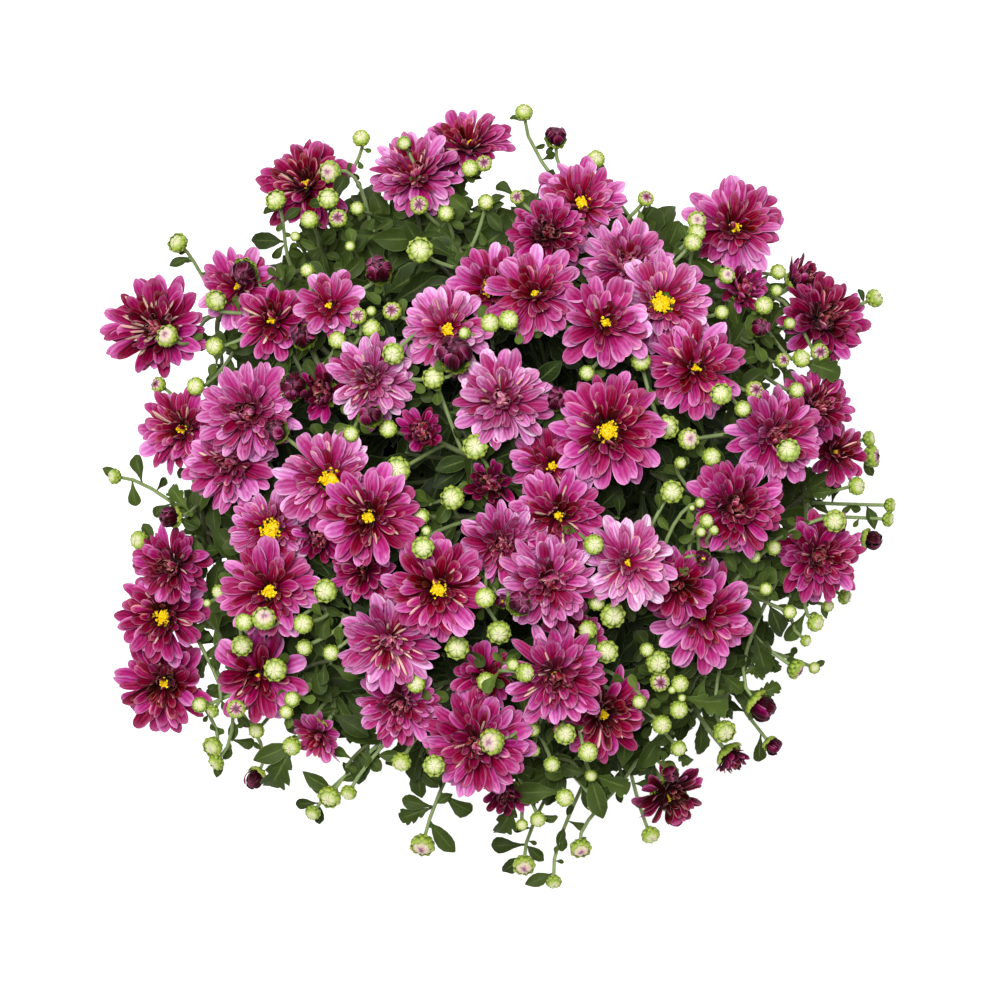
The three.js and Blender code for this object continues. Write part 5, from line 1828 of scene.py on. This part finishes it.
def edge_leaf_tree():
    tree, given = new_tree("edge_leaves")
    seed = given["Seed"]
    aim = aimed(named(tree, "rise"), named(tree, "azimuth"))
    variant = random_field(tree, *EDGE_VARIANT_PLAY, seed + 3)
    pick = whole(named(tree, "form") * len(LEAF_VARIANTS) + variant)
    age = random_field(tree, *EDGE_AGES, seed + 2)
    strand = leaf_strand(
        tree, given["Geometry"], aim, named(tree, "length"), pick, seed, seed + 1, age)
    return close_tree(tree, strand)


edge_leaves_on_stems = edge_leaf_tree()
print(len(edge_leaves_on_stems.nodes), "nodes in the tree for the edge")


def edge_leaf_points(leaves):
    units = {"azimuth": 1, "rise": 1, "length": MM, "form": 1}
    marks = {name: [each[name] * unit for each in leaves] for name, unit in units.items()}
    return new_mesh("edge_leaf_points", [each["foot"] * MM for each in leaves], **marks)


# %% Set the leaves
for cutting, net in enumerate(nets):
    values = {"Spacing": LEAF_SPACING * MM, "Room": LEAF_ROOM * MM,
              "Short": LEAF_LENGTHS[0] * MM, "Long": LEAF_LENGTHS[1] * MM, "Seed": 40 * cutting}
    meshes = [run_tree(leaves_on_stems, "leaves", values, net)]
    mine = [each for each in edge_leaves if each["cutting"] == cutting]
    if mine:
        points = edge_leaf_points(mine)
        meshes.append(run_tree(edge_leaves_on_stems, "leaves", {"Seed": cutting}, points))
    piece = finish_piece(joined(meshes), f"leaves_{cutting + 1}")
    print(piece.name, triangles(piece.data), "triangles")

# %% [markdown]
# ## The pot
# A grower pot is one thin shell of plastic, blown or pressed, with a stiff band round its
# mouth and drain holes in its floor. Its corners are never sharp, so the profile is rounded
# before it is turned. The holes repeat, so a tree sets the cutters on a ring.

# %% Turn the pot
POT_SEGMENTS, CORNER_STEPS, CORNER_RADIUS, CORNER_SHARE = 128, 3, 1.2, 0.45
DRAIN_SEGMENTS, CUTTER_DEPTH = 32, 18


def rounded(profile, radius):
    """A profile whose inner corners are arcs, as quadratic curves through their ends."""
    smooth = [profile[0]]
    for before, corner, after in zip(profile, profile[1:], profile[2:]):
        here = Vector(corner)
        ends = []
        for other in (before, after):
            side = Vector(other) - here
            ends.append(here + side.normalized() * min(radius, side.length * CORNER_SHARE))
        for step in range(CORNER_STEPS + 1):
            t = step / CORNER_STEPS
            spot = ends[0] * (1 - t) ** 2 + here * (2 * t * (1 - t)) + ends[1] * t * t
            smooth.append(tuple(spot))
    return [*smooth, profile[-1]]


def pot_profile():
    neck = POT_HEIGHT - POT_RIM_DEPTH
    corners = [
        (0, 0), (POT_BASE_RADIUS - POT_FOOT_BEVEL, 0), (POT_BASE_RADIUS, POT_FOOT_BEVEL),
        (POT_NECK_RADIUS, neck - 2 * POT_LIP), (POT_RIM_RADIUS - POT_LIP, neck),
        (POT_RIM_RADIUS, neck + POT_LIP), (POT_RIM_RADIUS, POT_HEIGHT - POT_LIP),
        (POT_RIM_RADIUS - POT_LIP, POT_HEIGHT), (POT_RIM_RADIUS - POT_WALL - POT_LIP, POT_HEIGHT),
        (POT_NECK_RADIUS - POT_WALL, neck), (POT_BASE_RADIUS - POT_WALL, POT_FLOOR), (0, POT_FLOOR),
    ]
    return [(r * MM, z * MM) for r, z in rounded(corners, CORNER_RADIUS)]


def drain_tree():
    tree, given = new_tree("drain_holes", ("Ring", "Radius"), ("Holes",))
    ring = made(tree, "GeometryNodeMeshCircle", {0: given["Holes"], 1: given["Ring"]})
    inputs = {"Vertices": DRAIN_SEGMENTS, "Radius": given["Radius"], "Depth": CUTTER_DEPTH * MM}
    cutter = made(tree, "GeometryNodeMeshCylinder", inputs)
    inputs = {"Points": ring, "Instance": cutter}
    cutters = realized(made(tree, "GeometryNodeInstanceOnPoints", inputs))
    inputs = {0: given["Geometry"], 1: cutters}
    cut = made(tree, "GeometryNodeMeshBoolean", inputs, operation="DIFFERENCE")
    return close_tree(tree, with_material(cut, plastic))


values = {"Holes": DRAIN_HOLES, "Ring": DRAIN_RING * MM, "Radius": DRAIN_RADIUS * MM}
pot_mesh = run_tree(drain_tree(), "pot", values, turned("pot_shell", pot_profile(), POT_SEGMENTS))
pot_piece = finish_piece(pot_mesh, "grower_pot", ["pot"])
print(pot_piece.name, triangles(pot_mesh), "triangles")

# %% [markdown]
# ## The potting mix
# Potting mix is a crumbly mound: peat, bark and a little white perlite. The mound is a turned
# form whose top is roughened by noise, and a tree strews crumbs on it.

# %% Make the potting mix
MOUND_SEGMENTS, MOUND_RINGS, MIX_CLEARANCE = 96, 26, 0.8
ROUGHNESS, LUMP_SCALE, LUMP_DETAIL, LUMP_MEAN = 6, 90.0, 4.0, 0.6
CRUMBS = 36000.0  # for each square metre of mound
CRUMB_SIZES, CRUMB_FLATNESS, CRUMB_TURN, PERLITE_SHARE = (0.6, 2.4), (0.4, 0.9), 6.0, 0.16


def mound_mesh():
    inside = POT_NECK_RADIUS - POT_WALL - MIX_CLEARANCE
    foot, floor = POT_BASE_RADIUS - POT_WALL - MIX_CLEARANCE, POT_FLOOR + GAP
    top = [(inside * (1 - ring / MOUND_RINGS), MIX_TOP + MIX_CROWN * min(1, 2 * ring / MOUND_RINGS))
           for ring in range(MOUND_RINGS + 1)]
    profile = [(r * MM, z * MM) for r, z in [(0, floor), (foot, floor), *top]]
    return turned("mound", profile, MOUND_SEGMENTS)


def crumb_strand(tree, given, points, chosen, material):
    """Flattened crumbs on the chosen ones of the points."""
    seed = given["Seed"]
    size = random_field(tree, *(size * MM for size in CRUMB_SIZES), seed + 2)
    flat = size * random_field(tree, *CRUMB_FLATNESS, seed + 3)
    turns = (random_field(tree, 0.0, CRUMB_TURN, seed + n) for n in (4, 5, 6))
    crumb = made(tree, "GeometryNodeMeshIcoSphere", {"Radius": 1.0, "Subdivisions": 1})
    inputs = {"Points": points, "Selection": chosen, "Instance": crumb,
              "Rotation": euler_rotation(tree, *turns), "Scale": vector_of(tree, size, flat, flat)}
    return with_material(made(tree, "GeometryNodeInstanceOnPoints", inputs), material)


def mound_tree():
    tree, given = new_tree("crumbly_mound", ("Roughness", "Crumbs"))
    place = made(tree, "GeometryNodeInputPosition")
    on_top = calculate(tree, "GREATER_THAN", place_fields(tree)[2], (MIX_TOP - 1) * MM)
    inputs = {"Vector": place, "Scale": LUMP_SCALE, "Detail": LUMP_DETAIL}
    lumps = made(tree, "ShaderNodeTexNoise", inputs)
    rise = (lumps - LUMP_MEAN) * given["Roughness"] * on_top
    inputs = {"Geometry": given["Geometry"], "Offset": vector_of(tree, z=rise)}
    mound = made(tree, "GeometryNodeSetPosition", inputs)
    inputs = {"Mesh": mound, "Selection": on_top, "Density": given["Crumbs"], "Seed": given["Seed"]}
    points = made(tree, "GeometryNodeDistributePointsOnFaces", inputs)
    chance = random_field(tree, 0.0, 1.0, given["Seed"] + 1)
    white = calculate(tree, "LESS_THAN", chance, PERLITE_SHARE)
    return close_tree(
        tree, with_material(mound, mix), crumb_strand(tree, given, points, white, perlite),
        crumb_strand(tree, given, points, 1.0 - white, mix))


values = {"Roughness": ROUGHNESS * MM, "Crumbs": CRUMBS, "Seed": SEED}
mound = run_tree(mound_tree(), "mound", values, mound_mesh())
mix_piece = finish_piece(mound, "crumbly_mix", ["potting_mix"])
print(mix_piece.name, triangles(mound), "triangles")

# %% [markdown]
# ## Floor, light and camera
# The plant stands on a plain pale floor that turns up into a low wall, in an even studio
# light. One wide lamp overhead gives soft shadows between the florets, and a white world fills
# them. The camera looks straight down from the point that the plan was drawn from.

# %% Set up the studio
FLOOR_RADIUS, WALL_HEIGHT, FLOOR_SEGMENTS, FLOOR_GLOW = 12.0, 3.0, 48, 0.92
FLOOR_GREYS = ("b4b4b4", "bebebe")
CAMERA_HEIGHT, VIEW_WIDTH, SENSOR_WIDTH = 1.8, 0.45, 36
LAMP_PLACE, LAMP_TARGET = (-0.24, 0.36, 2.5), (0, 0, 0.25)
LAMP_SIZE, LAMP_POWER, WORLD_LIGHT = 0.9, 61, 0.10
WHITE = (1, 1, 1, 1)


def floor_material():
    material, tree, shader = new_material("floor_white", roughness=0.9, specular=0.1)
    shader.inputs["Emission Color"].default_value = WHITE
    shader.inputs["Emission Strength"].default_value = FLOOR_GLOW
    return dressed(material, shader, mixed(noise(tree, scale=30), *FLOOR_GREYS))


def make_floor():
    """A round floor that turns up into a low wall, so that it is pale up to the horizon."""
    mesh = turned("floor", [(0, 0), (FLOOR_RADIUS, 0), (FLOOR_RADIUS, WALL_HEIGHT)], FLOOR_SEGMENTS)
    mesh.materials.append(floor_material())
    floor = set_out("floor", mesh)


def make_lamp():
    data = bpy.data.lights.new("key", "AREA")
    data.shape, data.size, data.energy = "DISK", LAMP_SIZE, LAMP_POWER
    lamp = set_out("key", data)
    way = Vector(LAMP_TARGET) - Vector(LAMP_PLACE)
    lamp.location, lamp.rotation_euler = LAMP_PLACE, way.to_track_quat("-Z", "Y").to_euler()


def make_world():
    world = bpy.data.worlds.new("studio")
    world.use_nodes = True
    background = world.node_tree.nodes["Background"]
    background.inputs["Color"].default_value = WHITE
    background.inputs["Strength"].default_value = WORLD_LIGHT
    bpy.context.scene.world = world


def make_camera():
    data = bpy.data.cameras.new("camera")
    data.sensor_width = SENSOR_WIDTH
    data.lens = SENSOR_WIDTH * (CAMERA_HEIGHT - PLAN_LEVEL * MM) / VIEW_WIDTH
    camera = set_out("camera", data)
    camera.location = (0, (PLAN_CENTRE[1] - PLAN_MIDDLE) * PLAN_UNIT * MM, CAMERA_HEIGHT)
    bpy.context.scene.camera = camera


make_floor()
make_world()
make_lamp()
make_camera()
bpy.context.scene.view_settings.view_transform = "Standard"
print("floor, world, lamp and camera")
